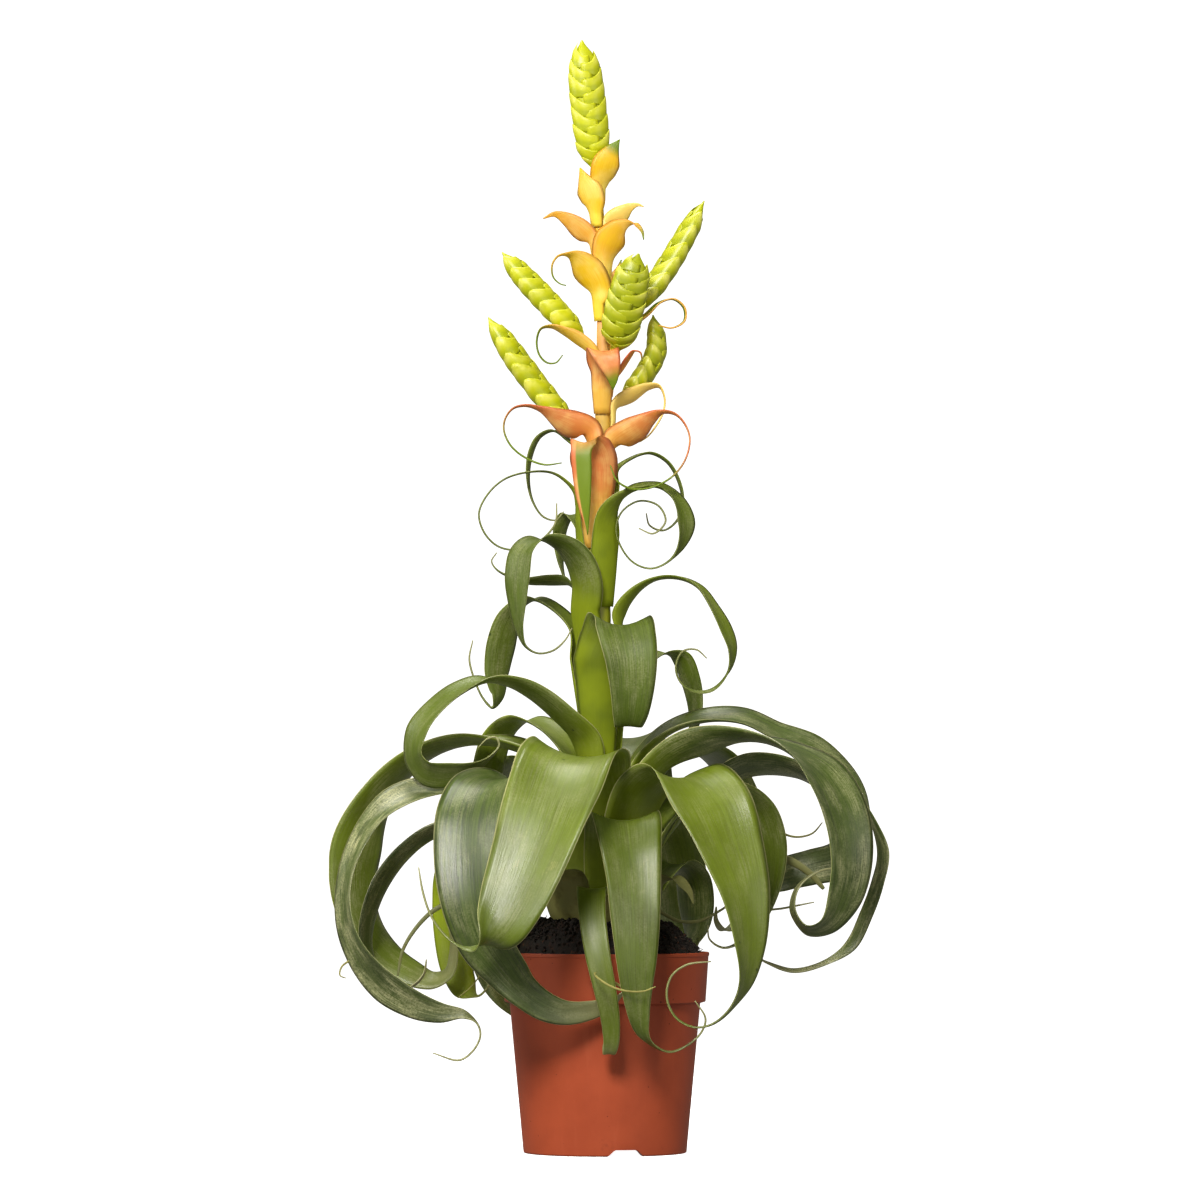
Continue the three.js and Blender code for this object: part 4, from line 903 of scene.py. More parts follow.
@dataclass
class Scatter:
    """A Geometry Nodes tree that puts a piece on every guide point and joins them in one mesh."""

    name: str
    tree: NodeTree = field(init=False)

    def __post_init__(self) -> None:
        """Builds the tree with its named inputs."""
        self.tree = bpy.data.node_groups.new(self.name, "GeometryNodeTree")
        face = self.tree.interface
        for label, kind in (("Guide", "Geometry"), ("Piece", "Object"), ("Size Spread", "Float"),
                            ("Turn Spread", "Float"), ("Seed", "Int"), ("Finish", "Material")):
            face.new_socket(name=label, in_out="INPUT", socket_type=f"NodeSocket{kind}")
        face.new_socket(name="Geometry", in_out="OUTPUT", socket_type="NodeSocketGeometry")
        given = add_node(self.tree, "NodeGroupInput").outputs
        piece = self._add("GeometryNodeObjectInfo", None, {"Object": given["Piece"]}, "Geometry")
        stand = self._add("FunctionNodeAxesToRotation", {"primary_axis": "Z", "secondary_axis": "X"},
                          {0: self._named("guide_along"), 1: self._named("guide_outward")})
        turn = self._spread(given["Turn Spread"], given["Seed"], 0.0)
        euler = self._add("FunctionNodeEulerToRotation", None, {0: turn})
        turned = self._add("FunctionNodeRotateRotation", {"rotation_space": "LOCAL"}, {0: stand, 1: euler})
        grown = self._spread(given["Size Spread"], given["Seed"], 1.0)
        scale = self._add("ShaderNodeVectorMath", {"operation": "MULTIPLY"},
                          {0: self._named("guide_size"), 1: grown})
        placed = self._add("GeometryNodeInstanceOnPoints", None, {
            "Points": given["Guide"], "Instance": piece, "Rotation": turned, "Scale": scale})
        real = self._add("GeometryNodeRealizeInstances", None, {0: placed})
        dressed = self._add("GeometryNodeSetMaterial", None,
                            {"Geometry": real, "Material": given["Finish"]})
        add_node(self.tree, "NodeGroupOutput", None, {0: dressed})

    def _add(self, kind: str, settings: dict[str, Any] | None, inputs: dict[int | str, Any],
             output: int | str = 0) -> NodeSocket:
        """Adds a node to the tree as add_node does, and hands back one of its outputs."""
        return add_node(self.tree, kind, settings, inputs).outputs[output]

    def _named(self, label: str) -> NodeSocket:
        """Reads a vector stored on the guide's points."""
        return self._add("GeometryNodeInputNamedAttribute", {"data_type": "FLOAT_VECTOR"},
                         {"Name": label}, "Attribute")

    def _spread(self, amount: NodeSocket, seed: NodeSocket,
                middle: float) -> NodeSocket:
        """A random vector for each point round a middle value.

        Args:
            amount: most that it departs from the middle.
            seed: the seed.
            middle: the middle value.

        Returns:
            The vector.
        """
        ends = {0: (middle, middle, middle), 1: amount}
        least = self._add("ShaderNodeVectorMath", {"operation": "SUBTRACT"}, ends)
        most = self._add("ShaderNodeVectorMath", {"operation": "ADD"}, ends)
        return self._add("FunctionNodeRandomValue", {"data_type": "FLOAT_VECTOR"},
                         {0: least, 1: most, "Seed": seed})

    def spread(self, name: str, guide: Mesh, piece: Mesh,
               material: Material, size_spread: float, turn_spread: float,
               seed: int) -> Mesh:
        """Runs the tree and hands back a plain mesh.

        Args:
            name: the mesh's name.
            guide: points with guide_along, guide_outward and guide_size.
            piece: the mesh that is repeated.
            material: its finish.
            size_spread: share by which sizes vary.
            turn_spread: radians by which turns vary.
            seed: the random seed.

        Returns:
            The joined mesh.
        """
        one, carrier = add_object(f"{name}_one", piece), add_object(f"{name}_guide", guide)
        modifier = carrier.modifiers.new("scatter", "NODES")
        modifier.node_group = self.tree
        given = {"Piece": one, "Size Spread": size_spread, "Turn Spread": turn_spread,
                 "Seed": seed, "Finish": material}
        for item in self.tree.interface.items_tree:
            if item.in_out == "INPUT" and item.name in given:
                modifier[item.identifier] = given[item.name]
        return plain_mesh(name, carrier, one)


def guide_mesh(name: str, places: np.ndarray, along: np.ndarray, outward: np.ndarray,
               size: np.ndarray, extra: dict[str, np.ndarray] | None = None) -> Mesh:
    """Makes the points that a Scatter puts pieces on.

    Args:
        name: the mesh's name.
        places: the points in millimetres.
        along: direction of each piece's own Z.
        outward: direction of each piece's own X.
        size: size of each piece along its own axes.
        extra: more numbers for each point, which its piece keeps.

    Returns:
        The mesh.
    """
    mesh = bpy.data.meshes.new(name)
    mesh.from_pydata((places * MM).tolist(), [], [])
    store_numbers(mesh, {"guide_along": along, "guide_outward": outward, "guide_size": size}, vectors=True)
    store_numbers(mesh, extra or {})
    return mesh


# Stem, leaves and bracts


@dataclass
class FlowerStalk:
    """The rooted base and the stalk above it: height, lean and radius of its middle line."""

    rows: tuple[Point, ...] = (
        (96, 0, 9), (150, 0, 9), (233, -3.5, 7.8), (290, -4.5, 8.2), (335, -5.5, 8.6), (362, -5, 7.4),
        (392, -3.2, 5.4), (413, -1.5, 4.6), (477, -1, 3.8), (500, -1, 3.5), (535, -3, 3.4),
        (568, -5.5, 2.8),
    )
    sides: int = 28
    rings: int = 150
    swelling: float = 0.015
    swelling_turn: float = 0.42

    def at(self, height: float) -> tuple[float, float]:
        """Sideways place and radius of the stalk at a height."""
        heights, leans, radii = zip(*self.rows)
        return float(np.interp(height, heights, leans)), float(np.interp(height, heights, radii))

    def build(self) -> Shell:
        """Lofts the stalk.

        Returns:
            Its shell, with a slight swelling at every joint.
        """
        angle = round_angles(self.sides)
        rings = []
        for height in np.linspace(self.rows[0][0], self.rows[-1][0], self.rings):
            lean, radius = self.at(height)
            radius *= 1 - self.swelling * (1 + math.sin(height * self.swelling_turn))
            rings.append(level_ring(radius, angle, height, lean))
        return tube_shell(rings)

    def dress(self) -> Object:
        """Adds the stalk to the scene."""
        return add_piece(self.build().mesh("stalk_core"), StemFinish().material(), ["stem"])


@dataclass(frozen=True)
class LeafPlan:
    """One leaf: where its sheath grows, and its blade's middle line.

    seat is the bulb layer of a rosette leaf, or the height of a stalk leaf's root. Each row of the
    line is x, y, z, half width and, where the blade turns, the direction of its width. tone picks
    the leaf's shade, and below zero also adds a painted silver sheen; green is the share of a
    bract's length where it turns green.
    """

    seat: float
    azimuth: float
    throat: float
    tone: float
    line: tuple[Row, ...]
    green: float = 2.0


@dataclass
class LeafRings:
    """Sections of a leaf from its root to its tip."""

    middle: np.ndarray
    across: np.ndarray
    depth: np.ndarray
    arc: np.ndarray
    half_width: np.ndarray
    thickness: np.ndarray
    normal_scale: np.ndarray
    normal_lift: np.ndarray

    def joined(self, other: LeafRings) -> LeafRings:
        """This leaf part followed by another."""
        pairs = zip(vars(self).values(), vars(other).values())
        return LeafRings(*(np.concatenate(pair) for pair in pairs))


@dataclass
class LeafLoft:
    """Makes a leaf from its plan, as the part's own source does, but finer.

    Its edges ripple in a long and a short wave, which die out towards the sheath and the tip.
    """

    columns: int
    sheath_thickness: float
    blade_thickness: float
    half_angle: float
    ring_gap: float = 4.0
    ring_turn: float = 6.0
    tail_thickness: float = 1.3
    gap: float = 0.3
    ripple: float = 0.0
    samples: int = 40
    softenings: int = 6
    taper: float = 14.0
    tip_width: float = 0.3
    tip_thickness: float = 0.55
    cup_places: Row = (0, 0.3, 0.6, 1)
    cup_arcs: Row = (0.5, 0.3, 0.15)
    calm: float = 40.0
    long_wave: float = 13.0
    short_wave: float = 7.7
    short_share: float = 0.6
    ripple_width: float = 20.0

    def profile(self, plan: LeafPlan) -> tuple[np.ndarray, np.ndarray]:
        """Radius, height and lean of the sheath, and each point's share of the way up."""
        raise NotImplementedError

    def clasp(self, plan: LeafPlan) -> float:
        """Half angle in degrees that the sheath reaches round."""
        return self.half_angle

    def sheath(self, plan: LeafPlan) -> LeafRings:
        """Lofts the part that clasps the plant.

        Args:
            plan: the leaf's plan.

        Returns:
            The sheath's rings.
        """
        profile, share = self.profile(plan)
        turn = math.radians(plan.azimuth)
        out = np.array([math.cos(turn), math.sin(turn), 0.0])
        side = np.array([-math.sin(turn), math.cos(turn), 0.0])
        full = math.radians(self.clasp(plan))
        throat = min(full, plan.line[0][3] / profile[-1, 0])
        angle = full + (throat - full) * share
        slope = unit(np.gradient(profile[:, :2], axis=0))
        count = len(profile)
        none = np.zeros(count)
        middle = out * profile[:, :1] + np.stack([profile[:, 2], none, profile[:, 1]], 1)
        return LeafRings(
            middle, np.tile(side, (count, 1)), np.tile(-out, (count, 1)), angle, angle * profile[:, 0],
            np.full(count, self.sheath_thickness), slope[:, 1], np.stack([none, none, slope[:, 0]], 1))

    def blade(self, plan: LeafPlan, sheath: LeafRings) -> LeafRings:
        """Lofts the free blade.

        Args:
            plan: the leaf's plan.
            sheath: its sheath, from whose last ring the blade goes on.

        Returns:
            The blade's rings.
        """
        line = SmoothLine([sheath.middle[-1], *(row[:3] for row in plan.line)])
        station = self._stations(line)
        place = station * len(plan.line)
        middle, along = line.points(station), line.directions(station)
        widths = [sheath.half_width[-1], *(row[3] for row in plan.line)]
        hints = [(0, sheath.across[-1])]
        hints += [(i, row[4:]) for i, row in enumerate(plan.line, 1) if len(row) > 4]
        at = [hint[0] for hint in hints]
        across = np.stack([np.interp(place, at, [h[1][k] for h in hints]) for k in range(3)], 1)
        across = squared_to(self._softened(squared_to(across, along)), along)
        run = run_along(middle)
        point = np.clip((run[-1] - run) / self.taper, 0.0, 1.0)
        width = smooth_between(range(len(widths)), widths, place)
        width = width * (self.tip_width + (1 - self.tip_width) * np.sqrt(point))
        arc = smooth_between(self.cup_places, [sheath.arc[-1], *self.cup_arcs], station)
        thickness = np.interp(station, [0, 0.5, 1], [self.blade_thickness] * 2 + [self.tail_thickness])
        thickness = thickness * (self.tip_thickness + (1 - self.tip_thickness) * point)
        count = len(station)
        return LeafRings(middle, across, np.cross(along, across), arc, width, thickness,
                         np.ones(count), np.zeros((count, 3)))

    def _stations(self, line: SmoothLine) -> np.ndarray:
        """Chooses where the blade's rings lie, closer together where it curls.

        Args:
            line: the blade's middle line.

        Returns:
            Their places on the line.
        """
        fine = np.linspace(0, 1, self.samples * line.count)
        points, along = line.points(fine), line.directions(fine)
        step = np.linalg.norm(np.diff(points, axis=0), axis=1) / self.ring_gap
        bend = np.sum(along[1:] * along[:-1], 1).clip(-1, 1)
        cost = np.concatenate([[0], np.cumsum(step + np.degrees(np.arccos(bend)) / self.ring_turn)])
        count = int(math.ceil(cost[-1]))
        return np.interp(np.linspace(0, cost[-1], count + 1)[1:], cost, fine)

    def _softened(self, values: np.ndarray) -> np.ndarray:
        """Rounds off kinks along a run of vectors.

        Args:
            values: the vectors.

        Returns:
            The softer run, its two ends kept.
        """
        soft = values.copy()
        for _ in range(self.softenings):
            soft[1:-1] = (soft[:-2] + 2 * soft[1:-1] + soft[2:]) / 4
        return soft

    def _lift(self, plan: LeafPlan, rings: LeafRings, run: np.ndarray, sheath_end: float,
              u: np.ndarray) -> np.ndarray:
        """Works out the ripple of the blade's edges.

        Args:
            plan: the leaf's plan.
            rings: its rings.
            run: length run at each ring.
            sheath_end: length of its sheath.
            u: places across a ring, from -1 to 1.

        Returns:
            How far each place is lifted off the smooth leaf.
        """
        free = np.clip((run - sheath_end) / self.calm, 0, 1) * np.clip((run[-1] - run) / self.calm, 0, 1)
        wave = np.sin(run / self.long_wave + plan.azimuth)[:, None] * u ** 3
        wave = wave + self.short_share * np.sin(run / self.short_wave + plan.throat)[:, None] * u ** 5
        return self.ripple * free[:, None] * wave * (rings.half_width / self.ripple_width)[:, None]

    def build(self, plan: LeafPlan) -> Shell:
        """Makes the whole leaf as one closed shell.

        Args:
            plan: the leaf's plan.

        Returns:
            The shell, with its UV map and numbers.
        """
        base = self.sheath(plan)
        rings = base.joined(self.blade(plan, base))
        count, columns = len(rings.arc), self.columns
        u = np.linspace(-1, 1, columns)
        angle = (u[None, :] * rings.arc[:, None])[..., None]
        radius = (rings.half_width / rings.arc)[:, None, None]
        across, depth = rings.across[:, None], rings.depth[:, None]
        middle = rings.middle[:, None] + across * (radius * np.sin(angle))
        middle = middle + depth * (radius * (1 - np.cos(angle)))
        normal = depth * np.cos(angle) - across * np.sin(angle)
        normal = unit(normal * rings.normal_scale[:, None, None] + rings.normal_lift[:, None])
        run = run_along(rings.middle)
        sheath_end = run[len(base.arc) - 1]
        middle = middle + normal * self._lift(plan, rings, run, sheath_end, u)[..., None]
        half = (rings.thickness[:, None] / 2 * np.sqrt(1 - np.abs(u) ** 5))[..., None]
        upper, lower = middle + normal * half, middle - normal * half
        rows = np.concatenate([upper, lower[:, -2:0:-1]], axis=1)
        around = rows.shape[1]
        order = np.concatenate([np.arange(columns), np.arange(columns - 2, 0, -1)])
        along = np.where(run < sheath_end, (run - sheath_end) / max(sheath_end, 1.0),
                         (run - sheath_end) / (run[-1] - sheath_end))
        side = np.concatenate([np.full(columns, Face.UPPER.value), np.full(columns - 2, Face.LOWER.value)])
        numbers = {
            "along": np.repeat(along, around), "side": np.tile(side, count),
            "tone": np.full(count * around, plan.tone), "green": np.full(count * around, plan.green),
        }
        uv = np.stack([np.tile(order / (columns - 1), count), np.repeat(run * UV_PER_MM, around)], 1)
        return Shell(rows.reshape(-1, 3), self._faces(count, around), numbers, uv)

    def _faces(self, count: int, around: int) -> list[Polygon]:
        """Makes the faces of the closed ribbon.

        Args:
            count: number of rings.
            around: corners in a ring.

        Returns:
            The faces.
        """
        faces = band_faces(count, around)
        for ring, flip in ((0, True), (count - 1, False)):
            for k in range(self.columns - 1):
                cap = [k, k + 1, (around - k - 1) % around, (around - k) % around]
                cap = list(dict.fromkeys(cap))
                if len(cap) > 2:
                    face = tuple(ring * around + c for c in cap)
                    faces.append(face[::-1] if flip else face)
        return faces


@dataclass
class BulbLeafLoft(LeafLoft):
    """A rosette leaf, whose sheath nests in the bulb like a layer of an onion."""

    bulb_height: float = 152
    bulb_radius: float = 34
    pitch: float = 2.8
    stem_radius: float = 9
    crowded_layer: float = 5
    crowded_angle: float = 46
    turn_step: float = 0.4
    finer: int = 4
    rise_step: float = 5

    def clasp(self, plan: LeafPlan) -> float:
        """Half angle of the sheath, smaller in the crowded layer."""
        return self.crowded_angle if plan.seat == self.crowded_layer else self.half_angle

    def profile(self, plan: LeafPlan) -> tuple[np.ndarray, np.ndarray]:
        """Follows the bulb's round layer, then goes straight up to the throat.

        Args:
            plan: the leaf's plan.

        Returns:
            Radius, height and lean of each point, and its share of the way.
        """
        radius = self.bulb_radius - plan.seat * self.pitch
        start = math.asin((self.stem_radius + self.gap + self.sheath_thickness / 2) / radius)
        end = math.acos(max((self.bulb_height - plan.throat) / radius, 0))
        steps = max(3, round((end - start) / self.turn_step))
        angle = np.linspace(start, end, steps * self.finer + 1)
        rows = np.stack([radius * np.sin(angle), self.bulb_height - radius * np.cos(angle), angle * 0], 1)
        share = np.linspace(0, steps, len(angle))
        if plan.throat > self.bulb_height:
            parts = max(2, round((plan.throat - self.bulb_height) / self.rise_step))
            heights = np.linspace(self.bulb_height, plan.throat, parts + 1)[1:]
            rows = np.concatenate([rows, np.stack([heights * 0 + radius, heights, heights * 0], 1)])
            share = np.concatenate([share, steps + np.linspace(0, 1, parts + 1)[1:]])
        return rows, share / share[-1]


@dataclass
class StalkLeafLoft(LeafLoft):
    """A stalk leaf or bract, whose sheath clasps the stalk and flares a little upwards."""

    stalk: FlowerStalk = field(default_factory=FlowerStalk)
    flare: float = 0.12
    clear: float = 0.3
    fewest: int = 5
    rise_step: float = 4

    def profile(self, plan: LeafPlan) -> tuple[np.ndarray, np.ndarray]:
        """Follows the stalk up from the leaf's root.

        Args:
            plan: the leaf's plan.

        Returns:
            Radius, height and lean of each point, and its share of the way.
        """
        rise = plan.throat - plan.seat
        share = np.linspace(0, 1, max(self.fewest, round(rise / self.rise_step)))
        away = self.gap + self.clear + self.sheath_thickness / 2
        rows = []
        for up in share * rise:
            lean, radius = self.stalk.at(plan.seat + up)
            rows.append((radius + away + self.flare * up, plan.seat + up, lean))
        return np.array(rows), share


@dataclass
class HuskLoft(BulbLeafLoft):
    """A withered outer husk, torn off part of the way up the bulb."""

    torn: float = 0.42

    def profile(self, plan: LeafPlan) -> tuple[np.ndarray, np.ndarray]:
        """Keeps only the upper share of a bulb leaf's sheath.

        Args:
            plan: the husk's plan.

        Returns:
            Radius, height and lean of each point, and its share of the way.
        """
        rows, share = super().profile(plan)
        kept = share >= self.torn
        left = share[kept]
        return rows[kept], (left - left[0]) / (left[-1] - left[0])


# Rosette leaves: layer of the bulb, azimuth, throat height, tone (below zero a painted silver sheen), middle
# line of the blade
ROSETTE = (
    # Front left, the broadest
    LeafPlan(4, 256, 185, 0.28, (
        (-8, -24, 202, 26), (-12, -32, 218, 28, 0.96, -0.24, -0.1), (-15, -50, 228, 29.5, 0.96, -0.24, -0.16),
        (-21, -72, 225, 29.5), (-30, -92, 203, 28, 0.97, -0.24, -0.05), (-40, -106, 175, 24.5),
        (-50, -114, 150, 21, 0.97, -0.24, 0), (-58, -117, 135, 16.5), (-66, -117, 126, 11, 0.8, 0.1, 0.5),
        (-74, -115, 121, 6.5), (-82, -113, 122, 3.6, 0, 1, 0), (-91, -111, 129, 2.4), (-98, -110, 139, 2),
        (-102.5, -109, 152, 1.6), (-105, -108, 166, 1, 0, 1, 0),
    )),
    # Left front, its end crossing in front of the pot
    LeafPlan(2, 222, 165, 0, (
        (-25, -22, 185, 23), (-37, -34, 205, 23.5), (-53, -48, 215, 23.5, 0.7, -0.7, 0),
        (-66, -62, 213, 23.5, 0.8, -0.6, 0), (-73, -76, 197, 23.5, 0.92, -0.38, 0), (-75, -86, 172, 22.5),
        (-73, -92, 146, 20, 0.92, -0.2, 0.2), (-67, -92, 124, 16.5), (-56, -87, 107, 12.5, 0.5, -0.2, 0.8),
        (-46, -80, 95, 10, 0, 0, 1), (-34, -74, 86.5, 8.5), (-22, -70, 83, 7), (-8, -67, 84.5, 5.5, 0, 0, 1),
        (4, -66, 89, 3.5), (12, -66, 96, 1.5, 0, -1, 1),
    )),
    # Right front
    LeafPlan(3, 318, 172, 0.32, (
        (21, -21, 194, 23.5), (30, -31, 210, 26, 0.76, 0.65, 0), (44, -47, 216, 26.5, 0.9, 0.45, 0),
        (58, -62, 202, 26, 0.96, 0.28, 0), (68, -74, 178, 23.5), (77, -82, 150, 19), (80, -86, 122, 14.5),
        (78, -88, 100, 9.5), (70, -88, 85, 4, 0.3, 0.95, 0), (60, -87, 77, 2.6), (50, -86, 75.5, 2),
        (40, -85, 81, 1.7), (35, -84, 92, 1.4), (37.5, -83, 104, 1.2), (46, -83, 110.5, 1),
        (60, -84, 112.5, 0.8, 0, 1, 0),
    )),
    # Outer right, arching over and back under
    LeafPlan(6, 5, 208, -0.35, (
        (20, 3, 224, 15), (37, 8, 242, 14.5), (58, 12, 250, 14), (80, 13, 250, 13.5),
        (101, 13, 241, 12.5, 0.15, 0.85, 0.45), (120, 12, 233, 12.5, 0.35, 0.78, 0.5),
        (137, 10, 219, 11.5, 0.45, 0.75, 0.4), (148, 8, 206, 10), (155, 6, 191, 8),
        (160.5, 4, 173, 7, -0.5, 0.85, 0), (157, 2, 155, 6.5), (151, 0, 138, 5.5),
        (142, -2, 120, 4.5, -0.5, 0.6, 0.6), (127, -4, 110, 3.5, 0, 0.9, 0.4), (109, -5, 105.5, 3),
        (94, -6, 110, 2.2), (88, -6, 113, 1.4),
    )),
    # Right wide, turned to the front
    LeafPlan(5, 345, 196, -0.35, (
        (23, -6, 210, 17), (36, -11, 224, 18.5), (54, -18, 233, 19, 0.2, 0.8, -0.45), (76, -25, 238, 19),
        (98, -31, 235, 19.5, 0, 1, 0.1), (122, -38, 220, 19.5, 0.6, 0.75, 0.1),
        (136, -43, 196, 17, 0.85, 0.5, 0), (140, -46, 170, 14.5), (136, -46, 148, 12.5, 0.85, 0.5, 0),
        (127, -45, 133, 9.5, 0.4, 0.75, -0.4), (116, -44, 130, 6.5, 0, 0.85, -0.5),
        (108, -43, 140, 4, -0.5, 0.85, 0), (109, -43, 151, 3), (115, -42, 158.5, 2.6), (124, -41, 163.5, 2),
        (131, -40, 165, 1.3, 0, 1, 0),
    )),
    # Middle front
    LeafPlan(1, 285, 158, 0.18, (
        (8, -34, 176, 20.5), (9.5, -46, 189, 21.5), (11, -58, 191.5, 21.5), (13, -72, 177, 19.5),
        (15.5, -80, 155, 16.5), (16.5, -84, 135, 14.8), (17, -86, 115, 12.6), (17.5, -86, 98, 9.6),
        (19, -84, 82, 6.4, 0.96, 0.26, 0), (22, -80, 71, 3.8), (28, -76, 64.5, 2.6, 0.5, -0.86, 0),
        (37, -72, 61, 2.2, 0, -1, 0), (48, -70, 65.5, 1.6), (55, -70, 72.5, 1.2), (57, -71, 80, 1),
        (51, -73, 90, 0.8, 0, -1, 0),
    )),
    # Left arch from the middle, looping back under itself
    LeafPlan(7, 222, 222, 0.18, (
        (-15, -13, 238, 15), (-26, -20, 250, 14.5), (-40, -27, 262, 14), (-53, -32, 269, 13.5),
        (-68, -35, 271.5, 13), (-83.5, -35, 266, 12.5), (-97, -34, 256, 11, 0.6, -0.78, 0),
        (-107, -33, 243, 10.5, 0.66, -0.74, 0), (-109, -32, 229, 9.5), (-102, -32, 220, 9.5, 0.2, -0.6, 0.75),
        (-89, -32, 219, 8.5, 0, -0.5, 0.86), (-75, -31, 223, 6), (-66, -30, 229, 3, 0, -1, 0.3),
        (-61, -30, 235.5, 1.8, 0, -1, 0), (-63, -30, 240, 1.4), (-68, -30, 239, 1.2), (-73, -30, 234, 0.8),
    )),
    # Back left, high
    LeafPlan(6, 150, 210, 0.32, (
        (-20, 13, 228, 13.5), (-33, 23, 244, 13), (-48, 34, 250, 12.5), (-61, 42, 241, 11.5),
        (-68, 45, 221, 10.5, -0.9, -0.4, 0), (-70, 46, 199, 9.5), (-67, 46, 181, 8), (-60, 46, 168, 5.5),
        (-52, 46, 166, 3.5, 0, -1, 0), (-46, 46, 173, 2), (-49, 46, 181, 1.2),
    )),
    # Far left, broad
    LeafPlan(5, 178, 196, 0.3, (
        (-26, 2, 214, 20), (-48, 6, 231, 21), (-78, 12, 236, 20.5), (-106, 17, 227, 20),
        (-129, 20, 205, 19.5, -0.6, -0.8, 0), (-142.5, 21, 177, 19, -0.8, -0.6, 0), (-144.6, 20, 151, 17.5),
        (-138, 17, 128, 15), (-126, 13, 113, 12.5, -0.45, -0.65, -0.6),
        (-112, 10, 104, 10.5, 0, -0.65, -0.75), (-100, 8, 100, 8), (-91, 6, 104, 5.5, 0.5, -0.8, -0.3),
        (-88, 5, 115, 4, 0.7, -0.7, 0), (-88.5, 4, 125, 2.8), (-91, 4, 132, 1.6),
    )),
    # Left, shining, sweeping down and under
    LeafPlan(3, 190, 172, -0.85, (
        (-31, -3, 190, 14), (-50, -1, 208.5, 11.5), (-78, -8, 211, 11.5, 0.3, -0.85, -0.35),
        (-101, -23, 210, 11.5, 0.4, -0.75, -0.5), (-120, -36, 203, 11.5, 0.45, -0.72, -0.5),
        (-135, -47, 188, 10.5, 0.55, -0.8, -0.1), (-146, -57, 163, 10, 0.5, -0.85, 0), (-147.5, -63, 138, 10),
        (-141, -67, 118, 10, 0.45, -0.7, 0.5), (-126, -68, 99, 10, 0.4, -0.4, 0.8), (-109, -67, 88, 8.5),
        (-94, -66, 83, 6), (-81, -65, 82, 3, 0, 0.2, 0.9), (-73, -65, 77, 1.8, 0, 1, 0), (-71, -65, 70, 1.5),
        (-75, -65, 61.5, 1.2), (-83, -65, 56, 1.1), (-98, -65, 60, 0.8, 0, 1, 0),
    )),
    # Left, narrow and dark
    LeafPlan(1, 183, 158, 0, (
        (-36, -2, 168, 14.5), (-52, -5, 181, 14.5), (-76, -9, 188, 13, -0.1, -0.9, 0.3),
        (-98, -12, 184, 12, -0.25, -0.9, 0.3), (-114, -14, 173, 11),
        (-127, -16, 157, 10.5, -0.4, -0.85, 0.25), (-135, -17, 138, 9.5),
        (-137, -17, 121, 8, -0.45, -0.85, 0), (-132, -16, 106, 5.5), (-123, -15, 97, 3), (-113, -14, 96, 2),
        (-105, -13, 103, 1.5), (-103, -13, 112, 1),
    )),
    # Front, low and narrow, hanging over the rim
    LeafPlan(0, 262, 144, 0.3, (
        (-6, -43, 152, 10), (-7.5, -57, 151, 8.8), (-7, -68, 136, 8), (-4, -75, 116, 7.4),
        (0, -77.5, 97, 6.6), (3, -76.5, 80, 5.6), (3.5, -73, 66, 4.5), (2, -68, 60, 3.5),
        (0.5, -64.5, 63, 2.5), (1, -66, 71, 1.2),
    )),
    # Left behind, low; its bright yellow-green tone is a painted glow of light shining through it
    LeafPlan(0, 159, 148, 0.95, (
        (-40, 14, 163, 13.5), (-56, 18, 176, 14), (-74, 22, 178, 13.5), (-86, 25, 165, 13, -0.8, -0.6, 0),
        (-89, 26, 143, 12, -0.95, -0.3, 0), (-88, 26, 122, 11.5), (-86, 25, 106, 10),
        (-81, 23, 94, 8, -0.85, -0.3, -0.4), (-74, 21, 90, 4.5, 0, -1, 0), (-67, 20, 98, 2.2),
        (-68, 20, 106, 1.3),
    )),
    # Behind the pot's left
    LeafPlan(2, 118, 165, 0.1, (
        (-17, 31, 180, 16.5), (-27, 46, 192, 17), (-42, 62, 190, 16), (-57, 71, 174, 14.5),
        (-67, 72, 150, 12.5), (-72, 68, 124, 10.5), (-68, 65, 101, 7.5, -0.9, 0, -0.4), (-58, 65, 83, 4.5),
        (-48, 67, 74, 2.5, 0, -1, 0), (-40, 70, 74, 1.5), (-34, 72, 80, 1),
    )),
    # Right, behind the right front leaf
    LeafPlan(2, 14, 165, 0.2, (
        (33, 9, 184, 19), (48, 14, 202, 20), (68, 20, 209, 19.5), (85, 26, 199, 18.5, -0.6, 0.8, 0),
        (92, 30, 178, 17, -0.75, 0.65, 0), (93, 31, 155, 14), (88, 30, 135, 11), (79, 28, 122, 7),
        (69, 26, 118, 4, 0, 1, 0), (61, 24, 123, 2.5), (60, 23, 131, 1.5),
    )),
    # Right behind, its end swinging back to the left
    LeafPlan(1, 40, 158, -0.3, (
        (27, 28, 170, 16.5), (42, 44, 189, 17), (60, 58, 208, 16.5, -0.2, 0.85, -0.45),
        (84, 66, 221, 16, 0, 0.85, -0.5), (112, 69, 219, 15, 0.1, 0.9, -0.35),
        (134, 67, 203, 14, -0.3, 0.9, 0.3), (145, 62, 184, 13, -0.3, 0.6, 0.7),
        (138, 57, 170, 12, 0, 0.3, 0.95), (122, 54, 165, 11), (104, 53, 160, 10, 0, 0.2, 0.98),
        (92, 53, 152, 7), (88, 54, 145, 4.5, 0, 1, -0.3), (92, 55, 140, 2.5, 0, 1, 0), (102, 56, 140, 2),
        (113, 56, 142, 1.5), (123, 56, 144, 1),
    )),
    # Behind the pot's right
    LeafPlan(0, 40, 148, 0.1, (
        (34, 28, 160, 13.5), (42, 37, 166, 13.5), (49, 44, 159, 13.5), (52, 48, 145, 13, -0.85, 0.5, 0),
        (51.5, 50, 131, 12.5), (48, 52, 120, 9.5), (43, 55, 114, 5.5, 0, 1, 0), (37, 57, 117, 2.8),
        (36, 58, 125, 1.6),
    )),
    # Back
